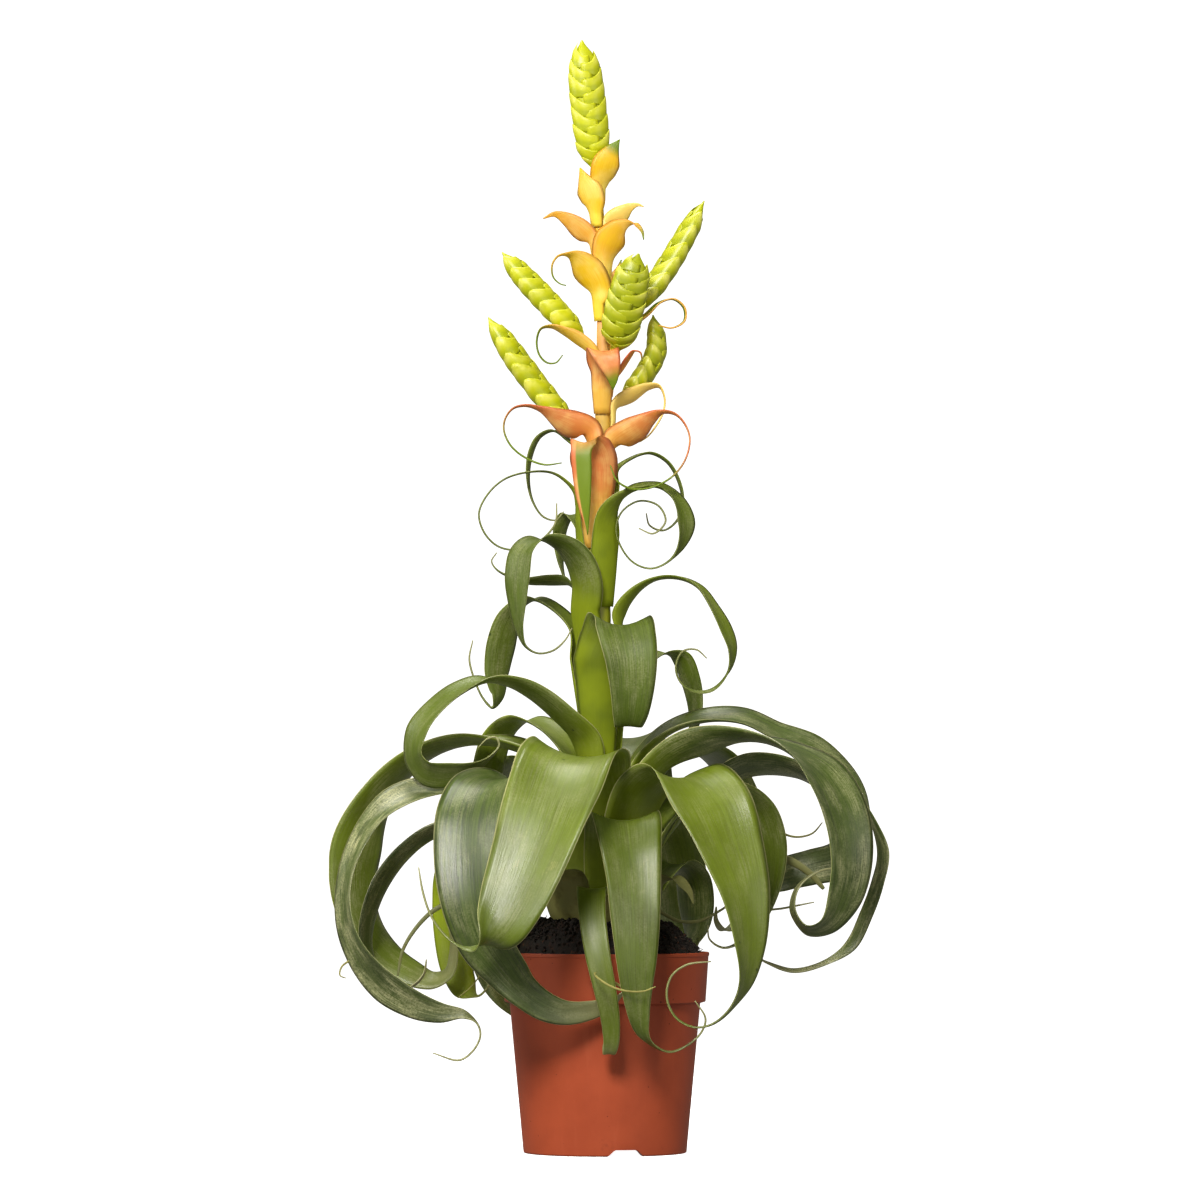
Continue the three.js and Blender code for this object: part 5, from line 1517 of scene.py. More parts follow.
    LeafPlan(3, 74, 172, 0.2, (
        (9, 31, 191, 20), (14, 48, 206, 20.5), (23, 69, 208, 20), (33, 86, 195, 19), (41, 97, 171, 18),
        (45, 101, 145, 16.5), (44, 98, 122, 13), (40, 89, 107, 8.5), (36, 80, 102, 5), (33, 73, 108, 3),
        (33, 72, 116, 1.6),
    )),
    # Back left
    LeafPlan(4, 134, 185, 0.2, (
        (-17, 22, 205, 18.5), (-29, 40, 221, 19), (-45, 64, 225, 18.5), (-61, 87, 213, 18),
        (-74, 102, 190, 17), (-80, 107, 162, 15.5), (-77, 103, 138, 12), (-69, 94, 122, 8), (-60, 85, 117, 5),
        (-54, 79, 122, 3), (-53, 78, 131, 1.6),
    )),
    # Back right
    LeafPlan(4, 34, 185, 0.2, (
        (22, 17, 205, 19.5), (35, 38, 224, 20), (52, 66, 232, 19.5), (69, 92, 223, 18.5), (82, 107, 200, 17),
        (88, 112, 173, 15), (86, 108, 148, 11.5), (79, 99, 132, 8), (71, 91, 127, 5), (66, 86, 133, 3),
        (66, 86, 141, 1.6),
    )),
    # Back, high
    LeafPlan(5, 82, 196, 0.2, (
        (4, 25, 214, 19), (8, 42, 234, 20), (14, 68, 240, 19.5), (20, 94, 230, 18.5), (24, 114, 208, 17),
        (26, 125, 182, 14.5), (25, 127, 156, 11), (20, 123, 138, 7.5), (15, 116, 129, 4.5),
        (13, 112, 130, 2.6), (13, 113, 137, 1.5),
    )),
)

# Leaves on the stalk: root height, azimuth, throat height, tone, middle line
STALK_LEAVES = (
    # Right behind, low
    LeafPlan(200, 40, 252, 0.15, (
        (12, 12, 268, 8.5), (22, 18, 282, 8.5), (33, 24, 289, 8.5), (43, 29, 287, 8.5, -0.8, 0.6, 0),
        (49, 32, 274, 8.5), (52, 34, 258, 7.5), (51, 34, 246, 5.5, -0.5, 0.86, 0), (45, 33, 239, 3.5),
        (37, 32, 235, 2), (29, 31, 239, 1.2, 0, 1, 0),
    )),
    # Broad front blade, folded over forward
    LeafPlan(215, 270, 286, 0.1, (
        (-1, -17.5, 294, 16), (4.5, -21.5, 302, 18), (10, -30, 304, 18), (13, -39, 296, 17),
        (15, -43, 285, 15.5), (15.5, -43, 268, 13), (14.5, -40, 254, 10.5), (13, -35, 247, 8),
        (12, -29.5, 248, 5.5), (12, -27, 254, 3), (12.5, -28, 261, 1.2),
    )),
    # Left behind, hanging
    LeafPlan(233, 160, 286, 0.2, (
        (-19, 5, 302, 9.5), (-29, 9, 314, 9.5), (-42, 13, 320, 9.5), (-53, 16, 313, 10, -0.6, -0.8, 0),
        (-59, 18, 297, 10, -0.9, -0.4, 0), (-62, 19, 279, 9.5), (-62, 19, 264, 7), (-66, 17, 258, 4.5),
        (-71, 16, 263, 3, 0, -1, 0), (-76, 15, 274, 2), (-79, 15, 286, 1.4), (-77, 15, 297, 1),
    )),
    # Right arch
    LeafPlan(250, 0, 298, 0.3, (
        (10, 0, 311, 9.5, 0.35, 0.85, -0.3), (18.5, 0, 324, 9), (30, 0, 331.5, 8, 0, 1, 0), (43, 0, 332, 7.5),
        (54, -1, 327, 7.5), (62, -2, 316, 7.5, 0.4, 0.9, 0), (69, -3, 303, 7.5, 0.6, 0.8, 0),
        (73, -4, 291, 6.5), (71, -5, 278, 4.5), (62, -5, 268, 3, 0, 0.9, 0.4), (52, -5, 267, 2.4),
        (44, -5, 272, 1.8), (41, -5, 281, 1.5, 0, 1, 0), (45, -5, 290, 1.2), (53, -5, 291, 1),
        (59, -5, 286, 0.8),
    )),
    # Left front strap
    LeafPlan(268, 232, 314, 0.12, (
        (-13, -14.5, 328, 12.5), (-17.5, -17.5, 342, 12), (-27, -20.5, 351, 10.5), (-39, -24, 353.5, 9),
        (-47, -28, 347, 8.5, 0.85, -0.5, 0), (-50, -30, 333, 8, 0.95, -0.3, 0), (-50, -30, 317, 6.5),
        (-49, -30, 303, 4.5), (-46, -29, 293, 2.8), (-39, -28, 288.5, 2, 0, -1, 0), (-30, -27, 290, 1.6),
        (-23, -26.5, 296, 1.3), (-19, -26, 303, 1),
    )),
    # Left behind, level
    LeafPlan(286, 138, 318, 0.2, (
        (-16, 12, 325, 7.5), (-22, 14.5, 330, 7), (-33, 15, 331, 6, -0.2, -0.8, 0.55), (-46, 14, 331, 5),
        (-56, 13, 334, 3.5), (-63, 12, 338, 2, 0, -1, 0), (-66, 12, 343, 1.2), (-63, 12, 348, 0.8),
    )),
    # Behind, hanging
    LeafPlan(300, 128, 344, 0.2, (
        (-12, 10, 357, 6.5), (-16, 15, 366, 6.5), (-21, 21, 370, 6), (-25, 25, 364, 5.5, -0.85, -0.5, 0),
        (-26, 27, 352, 5), (-25, 27, 340, 4), (-22, 26, 331, 2.5, 0, -1, 0), (-15, 25, 327, 1.6),
        (-9, 24, 330, 1.2), (-9, 24, 336, 0.8),
    )),
    # Right ringlet
    LeafPlan(316, 306, 358, 0.2, (
        (4.5, -12.5, 369, 11), (10, -12.5, 378, 10), (19.5, -9.5, 384, 8.5, 0.1, 0.95, 0.3),
        (31, -8, 385, 7.5), (41, -7.5, 378, 7.5, 0.5, 0.85, 0), (46, -9, 365, 7.5, 0.75, 0.66, 0),
        (43.5, -10, 352, 6), (37, -10.5, 342.5, 3.5, 0, 1, 0), (27, -10.5, 338, 2.2), (17, -10.5, 341, 1.8),
        (9.5, -10.5, 350, 1.6), (6.5, -10.5, 361, 1.5), (10, -10.5, 371, 1.3), (20, -11, 377, 1.2),
        (31, -13, 374, 1.1), (35, -14, 365, 1), (28, -14, 358, 1), (19.5, -14, 361, 0.8, 0, 1, 0),
    )),
    # Left ringlet, large and thin
    LeafPlan(334, 187, 374, 0.2, (
        (-18, -2, 382, 6), (-23, -3, 388.5, 4.5), (-31, -3.5, 393.5, 3.4), (-44, -4, 394, 2.4),
        (-58, -4.5, 390, 2), (-68, -5, 381, 1.7), (-73, -5, 370, 1.5), (-70, -5, 359, 1.3),
        (-62, -5, 351, 1.2), (-51, -5, 349, 1.1), (-38, -5, 354, 1), (-29, -5, 364, 0.9), (-28, -5, 376, 0.8),
    )),
    # Right, hanging behind the ringlet
    LeafPlan(346, 22, 386, 0.2, (
        (7, 4, 395, 6), (15, 7, 402, 5), (26, 10, 405.5, 4.5), (36, 12, 400.5, 4.2, -0.2, 0.98, 0),
        (42.5, 13, 390, 4), (45, 13, 378, 3.5), (42, 13, 367, 2.4), (34, 13, 361, 1.6), (26, 13, 364, 1.2),
        (24, 13, 371, 0.8),
    )),
    # Left, narrow, hanging
    LeafPlan(358, 165, 398, 0.2, (
        (-15, 3, 406, 5.5), (-22, 6, 413, 5), (-30, 9, 418.5, 4.5), (-38, 11, 415, 4.2),
        (-43, 12, 405, 4, -0.4, -0.9, 0), (-44.5, 12, 391, 3.6), (-42, 12, 378, 2.6),
        (-36, 12, 369, 1.8, 0, -1, 0), (-28.5, 12, 367, 1.3), (-24, 12, 372, 0.8),
    )),
)

# Bracts: as the stalk leaves, with where along each turns green
BRACTS = (
    # Front sheath whose end folds forward and hangs as a green strap
    LeafPlan(350, 262, 376, 0.1, (
        (-6, -12, 388, 13.5), (-7, -14, 399, 15), (-9, -17, 407, 13), (-12, -20.5, 410, 9),
        (-13.5, -23, 405.5, 6.3), (-13.3, -23.6, 394, 5.8), (-12.6, -23.3, 382, 4.8), (-11.5, -22.3, 370, 3),
        (-10.5, -21, 362, 1.8), (-10, -20.5, 357, 0.9),
    ), 0.42),
    # Left, large, orange
    LeafPlan(392, 200, 410, 0.05, (
        (-11, -6, 417, 10, 0.3, -0.55, 0.8), (-20, -8.5, 421, 9.5, 0.2, -0.35, 0.92),
        (-29, -10.5, 425.5, 6, 0.2, -0.35, 0.92), (-38, -11.5, 430, 3.6, 0.1, -0.9, 0.3),
        (-46, -12, 432, 2.8), (-53, -12, 430.5, 2.5), (-57.5, -12, 425, 2.3, 0, -1, 0), (-58.5, -12, 418, 2),
        (-54.5, -12, 409, 1.8), (-46, -12, 402, 1.6), (-35, -12, 398, 1.3), (-25, -12, 399, 0.9),
    ), 0.55),
    # Right, large, orange
    LeafPlan(396, 340, 408, 0.2, (
        (8, -6, 411.5, 10.5, 0.4, 0.6, -0.75), (17, -8.5, 417.5, 9.5, 0.3, 0.4, -0.9),
        (25.5, -10.5, 424, 5.5, 0.2, 0.4, -0.9), (33, -12, 428, 3.4, 0.1, 0.9, -0.3), (40.5, -12.5, 427, 2.8),
        (46, -13, 421.5, 2.5), (49, -13.5, 413, 2.2, 0, 1, 0), (46.5, -14.5, 401, 1.9), (39, -16.5, 391, 1.6),
        (27, -19.5, 384.5, 1.4), (15.5, -22, 383.5, 1.2), (7, -24, 388, 1), (3, -24.5, 397, 0.8),
    ), 0.6),
    # Right, yellow with an orange tip
    LeafPlan(410, 15, 424, 1.0, (
        (7, 2, 432, 8), (16, 3.5, 438, 7.2, 0.2, 0.7, -0.6), (25, 4.5, 443.5, 4.6), (31.5, 5, 444, 3.8),
        (34.5, 5, 438, 3.4, 0, 1, 0), (34, 5, 430, 2.6), (30, 5, 422, 2), (25, 5, 415.5, 1.5),
        (20, 5, 412, 1),
    ), 1.2),
    # Front, olive and orange, folded over
    LeafPlan(428, 264, 443, 0.2, (
        (-1.5, -8.8, 451, 8), (-2, -11.5, 458.5, 9.6), (-1.5, -16, 463, 9.6), (0.5, -20.5, 461.5, 8.4),
        (3, -22, 454.5, 6.4), (4.5, -21, 447, 4.2), (4.5, -19, 441, 1.4),
    ), 0.8),
    # Right front, small and red
    LeafPlan(438, 345, 447, 0.0, (
        (10.3, -2.2, 454, 5), (14, -5.5, 460, 5.5), (17, -8.5, 464, 4), (20.5, -10, 463, 2.4),
        (21.5, -10, 458, 1),
    ), 0.9),
    # Left, yellow, with a ringed tail
    LeafPlan(444, 202, 456, 0.75, (
        (-9, -5, 463.5, 7.5), (-16, -6, 470, 7.5, 0.2, -0.8, 0.45), (-24, -6, 475, 6), (-31, -6.5, 478, 4.8),
        (-37, -6.5, 477, 4, 0, -1, 0), (-39.5, -6.5, 470, 3), (-38, -6.5, 462, 2.2),
        (-33.5, -6.5, 457.5, 1.6), (-28.5, -6.5, 457.5, 1.3), (-24.5, -6.5, 462, 1),
    ), 0.5),
    # Right, thin, with a ringed tail
    LeafPlan(452, 22, 464, 0.7, (
        (8, 2, 471, 6), (16, 3, 478.5, 5.5), (25, 3.5, 486, 5), (32, 4, 493, 3.6), (40, 4, 495, 2.6),
        (46, 4, 490, 2), (46, 4, 482.5, 1.5), (39, 4, 478.5, 1.2), (31, 4, 480, 0.8),
    ), 0.35),
    # Left, large, gold and orange
    LeafPlan(482, 218, 492, 0.8, (
        (-5, -5, 500, 9.5, 0.85, -0.5, 0.1), (-9.5, -7.5, 509, 10.5, 0.9, -0.3, 0.3),
        (-15, -9.5, 516, 7.5, 0.9, -0.3, 0.3), (-21, -10.5, 519.5, 4.5), (-27, -11, 519, 3, 0, -1, 0),
        (-30.5, -11, 514, 2.2), (-30, -11, 507, 1.6), (-26, -11, 503, 1.2), (-22.5, -11, 502, 0.8),
    ), 0.75),
    # Right behind, small and pale
    LeafPlan(492, 35, 501, 0.6, (
        (5, 4, 508, 4.5), (8, 6, 514, 3.2), (9.5, 7.5, 518.5, 1.2),
    ), 0.8),
    # Right, gold
    LeafPlan(504, 300, 512, 0.6, (
        (0.5, -5.5, 520, 8.5), (3, -7.5, 528, 10, 0.95, 0.2, -0.2), (7.5, -9, 535, 6.5), (13, -9.5, 538, 3),
        (18, -10, 537.5, 2), (21.5, -10, 533.5, 1.4), (22.5, -10, 528.5, 0.8),
    ), 0.85),
    # Left, orange-pink
    LeafPlan(514, 190, 522, 0.5, (
        (-9, -2, 529, 7, 0.15, -0.6, 0.75), (-14, -3, 534.5, 7, 0.15, -0.4, 0.9),
        (-22, -4, 541, 4.5, 0.15, -0.4, 0.9), (-29, -4, 544, 2.4), (-36, -4, 541.5, 1),
    ), 1.1),
    # Right, yellow
    LeafPlan(526, 350, 533, 1.0, (
        (4, -2, 539.5, 6.5, 0.15, 0.7, -0.7), (9, -3, 543.5, 6, 0.15, 0.4, -0.9),
        (14.5, -3.5, 548, 3.6, 0.15, 0.4, -0.9), (19, -3.5, 549.5, 1.8), (22.5, -3.5, 548.5, 0.9),
    ), 1.1),
    # Left front, gold, closed
    LeafPlan(537, 235, 545, 0.88, (
        (-7.5, -5.6, 551, 8, 0.9, -0.4, 0), (-9.5, -6.2, 557.5, 8.5), (-12, -6, 564, 5.5),
        (-14.5, -5.5, 571, 1.2),
    ), 1.3),
    # Right front, under the top spike
    LeafPlan(552, 305, 559, 0.85, (
        (-1, -7.2, 565, 8, 0.95, 0.2, 0), (0.5, -9.8, 571.5, 8.5), (3.5, -10.4, 579, 6.5),
        (8.5, -9.6, 587, 1),
    ), 0.75),
)


# Withered husks of the bulb, laid out as the leaves are
HUSKS = (
    LeafPlan(-0.5, 222, 150, 0.5, (
        (-28, -26, 158, 21), (-37, -32, 160, 14), (-44, -35, 154, 7), (-46, -36, 146, 2.5),
    )),
    LeafPlan(-0.5, 318, 146, 0.75, (
        (30, -24, 155, 12), (40, -26, 158, 8), (48, -26, 152, 4), (51, -25, 144, 1.5),
    )),
    LeafPlan(-0.5, 276, 140, 0.3, (
        (2, -38, 146, 10), (3, -44, 150, 7), (5, -48, 147, 3.5), (6, -50, 141, 1.5),
    )),
)


class Curl(NamedTuple):
    """A thread-like curl: radius at its root, shade, and middle line."""

    radius: float
    tone: float
    line: tuple[Point, ...]


@dataclass
class WitheredTails:
    """Dry husks and curls, which are too thin for solids of their own."""

    curls: tuple[Curl, ...] = (
        Curl(0.9, 0.1, ((12, -66, 96), (4, -68, 101), (-4, -73, 106), (-6, -82, 105), (-1, -90, 101),
                        (6, -92, 97.5), (14, -92.5, 95.8), (22, -92, 96), (28.5, -91, 98.5))),
        Curl(0.9, 0.6, ((94, 30, 197), (102, 30, 186), (111, 29, 182.5), (121, 28, 184.5),
                        (127, 27, 191))),
        Curl(1.6, 0.9, ((-80, -30, 150), (-91.6, -20, 144.4), (-100.3, -20, 139.2),
                        (-110, -20, 128.8), (-116.6, -20, 117.2), (-119.5, -20, 102.7))),
        Curl(0.7, 0.4, ((-143, -62, 114), (-150, -62, 109), (-151, -62, 104), (-147.5, -62, 102.5))),
        Curl(1.2, 0.8, ((32, 22, 139), (43, 26, 133.5), (55, 28, 133.5), (68, 28, 140),
                        (76, 27, 146))),
        Curl(3.2, 0.8, ((84, 34, 171), (94, 34, 171), (104, 34, 170), (113, 34, 166), (121, 34, 160),
                        (128, 34, 152))),
        Curl(0.5, 0.3, ((-72, -60, 118), (-71, -60, 106), (-75, -60, 99), (-84, -60, 91))),
    )
    sides: int = 8
    ring_gap: float = 1.0
    flat: float = 0.35
    tip: float = 0.3
    facing: Point = (0.2, 1.0, 0.3)

    def thread(self, curl: Curl) -> Shell:
        """Lofts one curl as a flattened, tapering tube.

        Args:
            curl: its plan.

        Returns:
            Its shell.
        """
        line = SmoothLine(curl.line)
        count = round(line.lengths[-1] / self.ring_gap)
        station = line.place_at_share(np.linspace(0, 1, count))
        middle, along = line.points(station), line.directions(station)
        side = unit(np.cross(along, self.facing))
        depth = np.cross(along, side)
        radius = curl.radius * (self.tip + (1 - self.tip) * np.sqrt(np.linspace(1, 0, count)))
        angle = round_angles(self.sides)
        rings = [m + r * (np.outer(np.cos(angle), s) + self.flat * np.outer(np.sin(angle), d))
                 for m, r, s, d in zip(middle, radius, side, depth)]
        return tube_shell(rings, {"tone": np.full(count, curl.tone)})

    def dress(self) -> None:
        """Adds the husks and the curls."""
        finish = WitheredFinish().material()
        loft = HuskLoft(columns=11, sheath_thickness=0.6, blade_thickness=0.5, half_angle=40,
                        tail_thickness=0.4, ripple=1.2)
        for i, plan in enumerate(HUSKS, 1):
            add_piece(loft.build(plan).mesh(f"husk_{i:02d}"), finish)
        for i, curl in enumerate(self.curls, 1):
            add_piece(self.thread(curl).mesh(f"dry_curl_{i:02d}"), finish)


@dataclass
class Foliage:
    """A run of leaves of one kind, each shown in place of its own solid."""

    kind: str
    plans: tuple[LeafPlan, ...]
    loft: LeafLoft
    slot: Slot
    finish: LeafFinish | BractFinish

    def dress(self) -> None:
        """Builds every leaf and adds it to the scene."""
        finish = self.finish.material()
        for i, plan in enumerate(self.plans, 1):
            node = f"{self.kind}_{i:02d}"
            add_piece(self.loft.build(plan).mesh(f"{node}_fine"), finish, [node])


@dataclass(frozen=True)
class SpikePlan:
    """One flower spike: its line, broad direction, half sizes, scales a side, bare share and shade."""

    line: tuple[Point, ...]
    broad: Point
    half_breadth: float
    half_thickness: float
    scales: int
    pedicel: float
    tone: float


# Flower spikes, from the top one down
SPIKES = (
    SpikePlan(((-5.5, 0, 568.6), (-6.8, 0, 583), (-9, 0, 603), (-11.3, 0, 624), (-13.5, 0, 646)),
              (1, 0.15, 0), 10.5, 7, 7, 0.04, 0.0),
    SpikePlan(((3.6, 3, 474), (13, 8, 488), (28, 13, 503), (44, 17, 528), (58, 19, 554)),
              (0.35, -0.9, 0), 9.5, 6.7, 7, 0.16, 0.25),
    SpikePlan(((-5, 4.2, 465), (-15, 7, 475), (-26, 8, 486), (-43, 9, 504), (-60, 9, 523)),
              (0.3, 0.9, 0.2), 9.5, 7.1, 7, 0.15, 0.1),
    SpikePlan(((-6.5, 2.9, 417), (-17, 7, 421.5), (-28, 9, 431), (-46, 9.5, 453), (-68, 8, 485)),
              (0.3, 0.9, 0.2), 9.5, 7.2, 7, 0.15, 0.15),
    SpikePlan(((1.6, -5.2, 456), (7, -9, 467), (9.5, -14, 480), (14, -17, 500), (19.5, -18, 520)),
              (1, 0.1, -0.2), 11.2, 6.5, 7, 0.16, 0.7),
    SpikePlan(((3, 3.8, 434), (13, 10, 441), (23, 14, 452), (30, 15, 467), (28, 14, 487)),
              (0.35, 0.9, 0), 9, 6, 6, 0.15, 0.3),
)


@dataclass
class FlowerSpike:
    """Flat heads of two ranks of boat-shaped scales, made straight and then bent to their lines."""

    plans: tuple[SpikePlan, ...] = SPIKES
    outline: Pairs = (
        (0, 0.24), (0.06, 0.6), (0.14, 0.9), (0.3, 1), (0.6, 1), (0.8, 0.87), (0.92, 0.56), (1, 0.14),
    )
    top_clear: float = 0.75
    first: float = 0.1
    sweep: float = 0.5
    scale_length: float = 1.5
    wrap: float = 112
    skin: float = 0.03
    tuck: float = 0.06
    rows: int = 10
    columns: int = 15
    keel_width: float = 0.16
    keel_proud: float = 0.035
    keel_rise: float = 0.05
    root_radius: float = 0.93
    flare: float = 0.10
    flare_power: float = 0.8
    lip_start: float = 0.7
    lip_turn: float = 0.45
    side_angle: float = 1.571
    core_share: float = 0.84
    core_neck: float = 0.1
    core_shoulder: float = 0.9
    core_tip: float = 0.35
    core_rings: tuple[int, int] = (6, 30)
    core_sides: int = 18
    pedicel_cover: float = 0.9
    tone_swing: float = 0.12
    tone_turn: float = 2.3
    size_spread: float = 0.025
    turn_spread: float = 0.02
    seed: int = 3

    def _layer(self, sunk: float) -> np.ndarray:
        """Makes one face of a boat-shaped scale.

        Args:
            sunk: how far it lies inside the outer face.

        Returns:
            Its corners, row by row from the root to the lip.
        """
        phi, rise = np.linspace(-1, 1, self.columns), np.linspace(0, 1, self.rows)[:, None]
        angle = np.radians(self.wrap) * phi
        keel = np.exp(-(phi / self.keel_width) ** 2)
        lip = self.lip_turn * np.clip(rise - self.lip_start, 0, 1) ** 2
        radius = self.root_radius + self.flare * rise ** self.flare_power - lip - sunk
        radius = radius * (1 + self.keel_proud * keel * rise) - self.tuck * phi ** 4
        swept = self.sweep * np.sin(np.clip(angle, -self.side_angle, self.side_angle)) ** 2
        height = rise * (1 - swept + self.keel_rise * keel)
        return np.stack([radius * np.cos(angle), radius * np.sin(angle), height], -1).reshape(-1, 3)

    def scale(self) -> Shell:
        """Makes one boat-shaped scale of unit length and radius, its back towards +X.

        Returns:
            Its shell, with rise (0 root, 1 lip) and turn (0 keel, 1 edge).
        """
        corners = np.concatenate([self._layer(0.0), self._layer(self.skin)])
        size = self.rows * self.columns
        faces: list[Polygon] = []
        for r in range(self.rows - 1):
            for c in range(self.columns - 1):
                a = r * self.columns + c
                faces.append((a, a + 1, a + 1 + self.columns, a + self.columns))
                faces.append(tuple(size + k for k in (a, a + self.columns, a + 1 + self.columns, a + 1)))
        rim = [*range(self.columns), *range(2 * self.columns - 1, size, self.columns),
               *range(size - 2, size - self.columns - 1, -1),
               *range(size - 2 * self.columns, 0, -self.columns)]
        for a, b in zip(rim, rim[1:] + rim[:1]):
            faces.append((b, a, a + size, b + size))
        numbers = {"rise": np.tile(np.repeat(np.linspace(0, 1, self.rows), self.columns), 2),
                   "turn": np.tile(np.abs(np.linspace(-1, 1, self.columns)), 2 * self.rows)}
        return Shell(corners, faces, numbers)

    def _share(self, plan: SpikePlan, place: np.ndarray) -> np.ndarray:
        """Outline of the spike at places along it."""
        places, shares = zip(*self.outline)
        return np.interp((place - plan.pedicel) / (1 - plan.pedicel), places, shares)

    def bend(self, plan: SpikePlan, straight: np.ndarray) -> np.ndarray:
        """Carries corners of the straight spike onto its own line.

        Args:
            plan: the spike.
            straight: corners, x and y as shares of the half sizes and z the place along it.

        Returns:
            The corners in millimetres.
        """
        line = SmoothLine(plan.line)
        at = line.place_at_share(np.clip(straight[:, 2], 0, 1))
        along = line.directions(at)
        wide = np.asarray(plan.broad, float)
        wide = unit(wide - along * (along @ wide)[:, None])
        deep = np.cross(along, wide)
        share = self._share(plan, straight[:, 2])[:, None]
        return (line.points(at) + wide * straight[:, :1] * plan.half_breadth * share
                + deep * straight[:, 1:2] * plan.half_thickness * share)

    def core(self, plan: SpikePlan) -> Shell:
        """Lofts the body inside the scales, with the bare stalk below it.

        Args:
            plan: the spike.

        Returns:
            Its shell.
        """
        bare, inner = self.core_rings
        places = np.concatenate([np.linspace(0, plan.pedicel, bare), np.linspace(plan.pedicel, 1, inner)[1:]])
        keep = np.interp(places, [0, plan.pedicel, plan.pedicel + self.core_neck, self.core_shoulder, 1],
                         [1, 1, self.core_share, self.core_share, self.core_tip])
        angle = round_angles(self.core_sides)
        rings = [self.bend(plan, level_ring(k, angle, place)) for k, place in zip(keep, places)]
        values = {"rise": 0.5, "turn": 1.0, "tone": plan.tone}
        return tube_shell(rings, {name: np.full(len(places), value) for name, value in values.items()})

    def guide(self, plan: SpikePlan) -> Mesh:
        """Works out where the scales of a straight spike sit, in two ranks.

        Args:
            plan: the spike.

        Returns:
            The guide's points.
        """
        pitch = (1 - plan.pedicel) / (plan.scales + self.top_clear)
        half = np.arange(1, 2 * plan.scales + 2)
        lip = plan.pedicel + pitch * (half / 2 + self.first)
        length = np.minimum(pitch * self.scale_length, lip - plan.pedicel * self.pedicel_cover)
        side = np.where(half % 2 == 0, 1.0, -1.0)
        zero, one = np.zeros(len(half)), np.ones(len(half))
        columns = ((zero, zero, lip - length), (zero, zero, one), (side, zero, zero), (one, one, length))
        tone = plan.tone + self.tone_swing * np.sin(half * self.tone_turn)
        return guide_mesh("scale_places", *(np.stack(column, 1) for column in columns), {"tone": tone})

    def dress(self) -> None:
        """Builds every spike and adds it to the scene."""
        finish = ScaleFinish().material()
        scatter = Scatter("scales_on_a_spike")
        scale = self.scale().mesh("one_scale")
        for i, plan in enumerate(self.plans):
            node = f"flower_spike_{i + 1:02d}"
            mesh = scatter.spread(f"{node}_scales", self.guide(plan), scale, finish,
                                  self.size_spread, self.turn_spread, self.seed + i)
            flat = np.empty(len(mesh.vertices) * 3, np.float32)
            mesh.vertices.foreach_get("co", flat)
            bent = self.bend(plan, flat.reshape(-1, 3).astype(float) / MM)
            mesh.vertices.foreach_set("co", (bent * MM).astype(np.float32).ravel())
            mesh.update()
            add_piece(mesh, finish, [node])
            add_piece(self.core(plan).mesh(f"{node}_core"), finish)


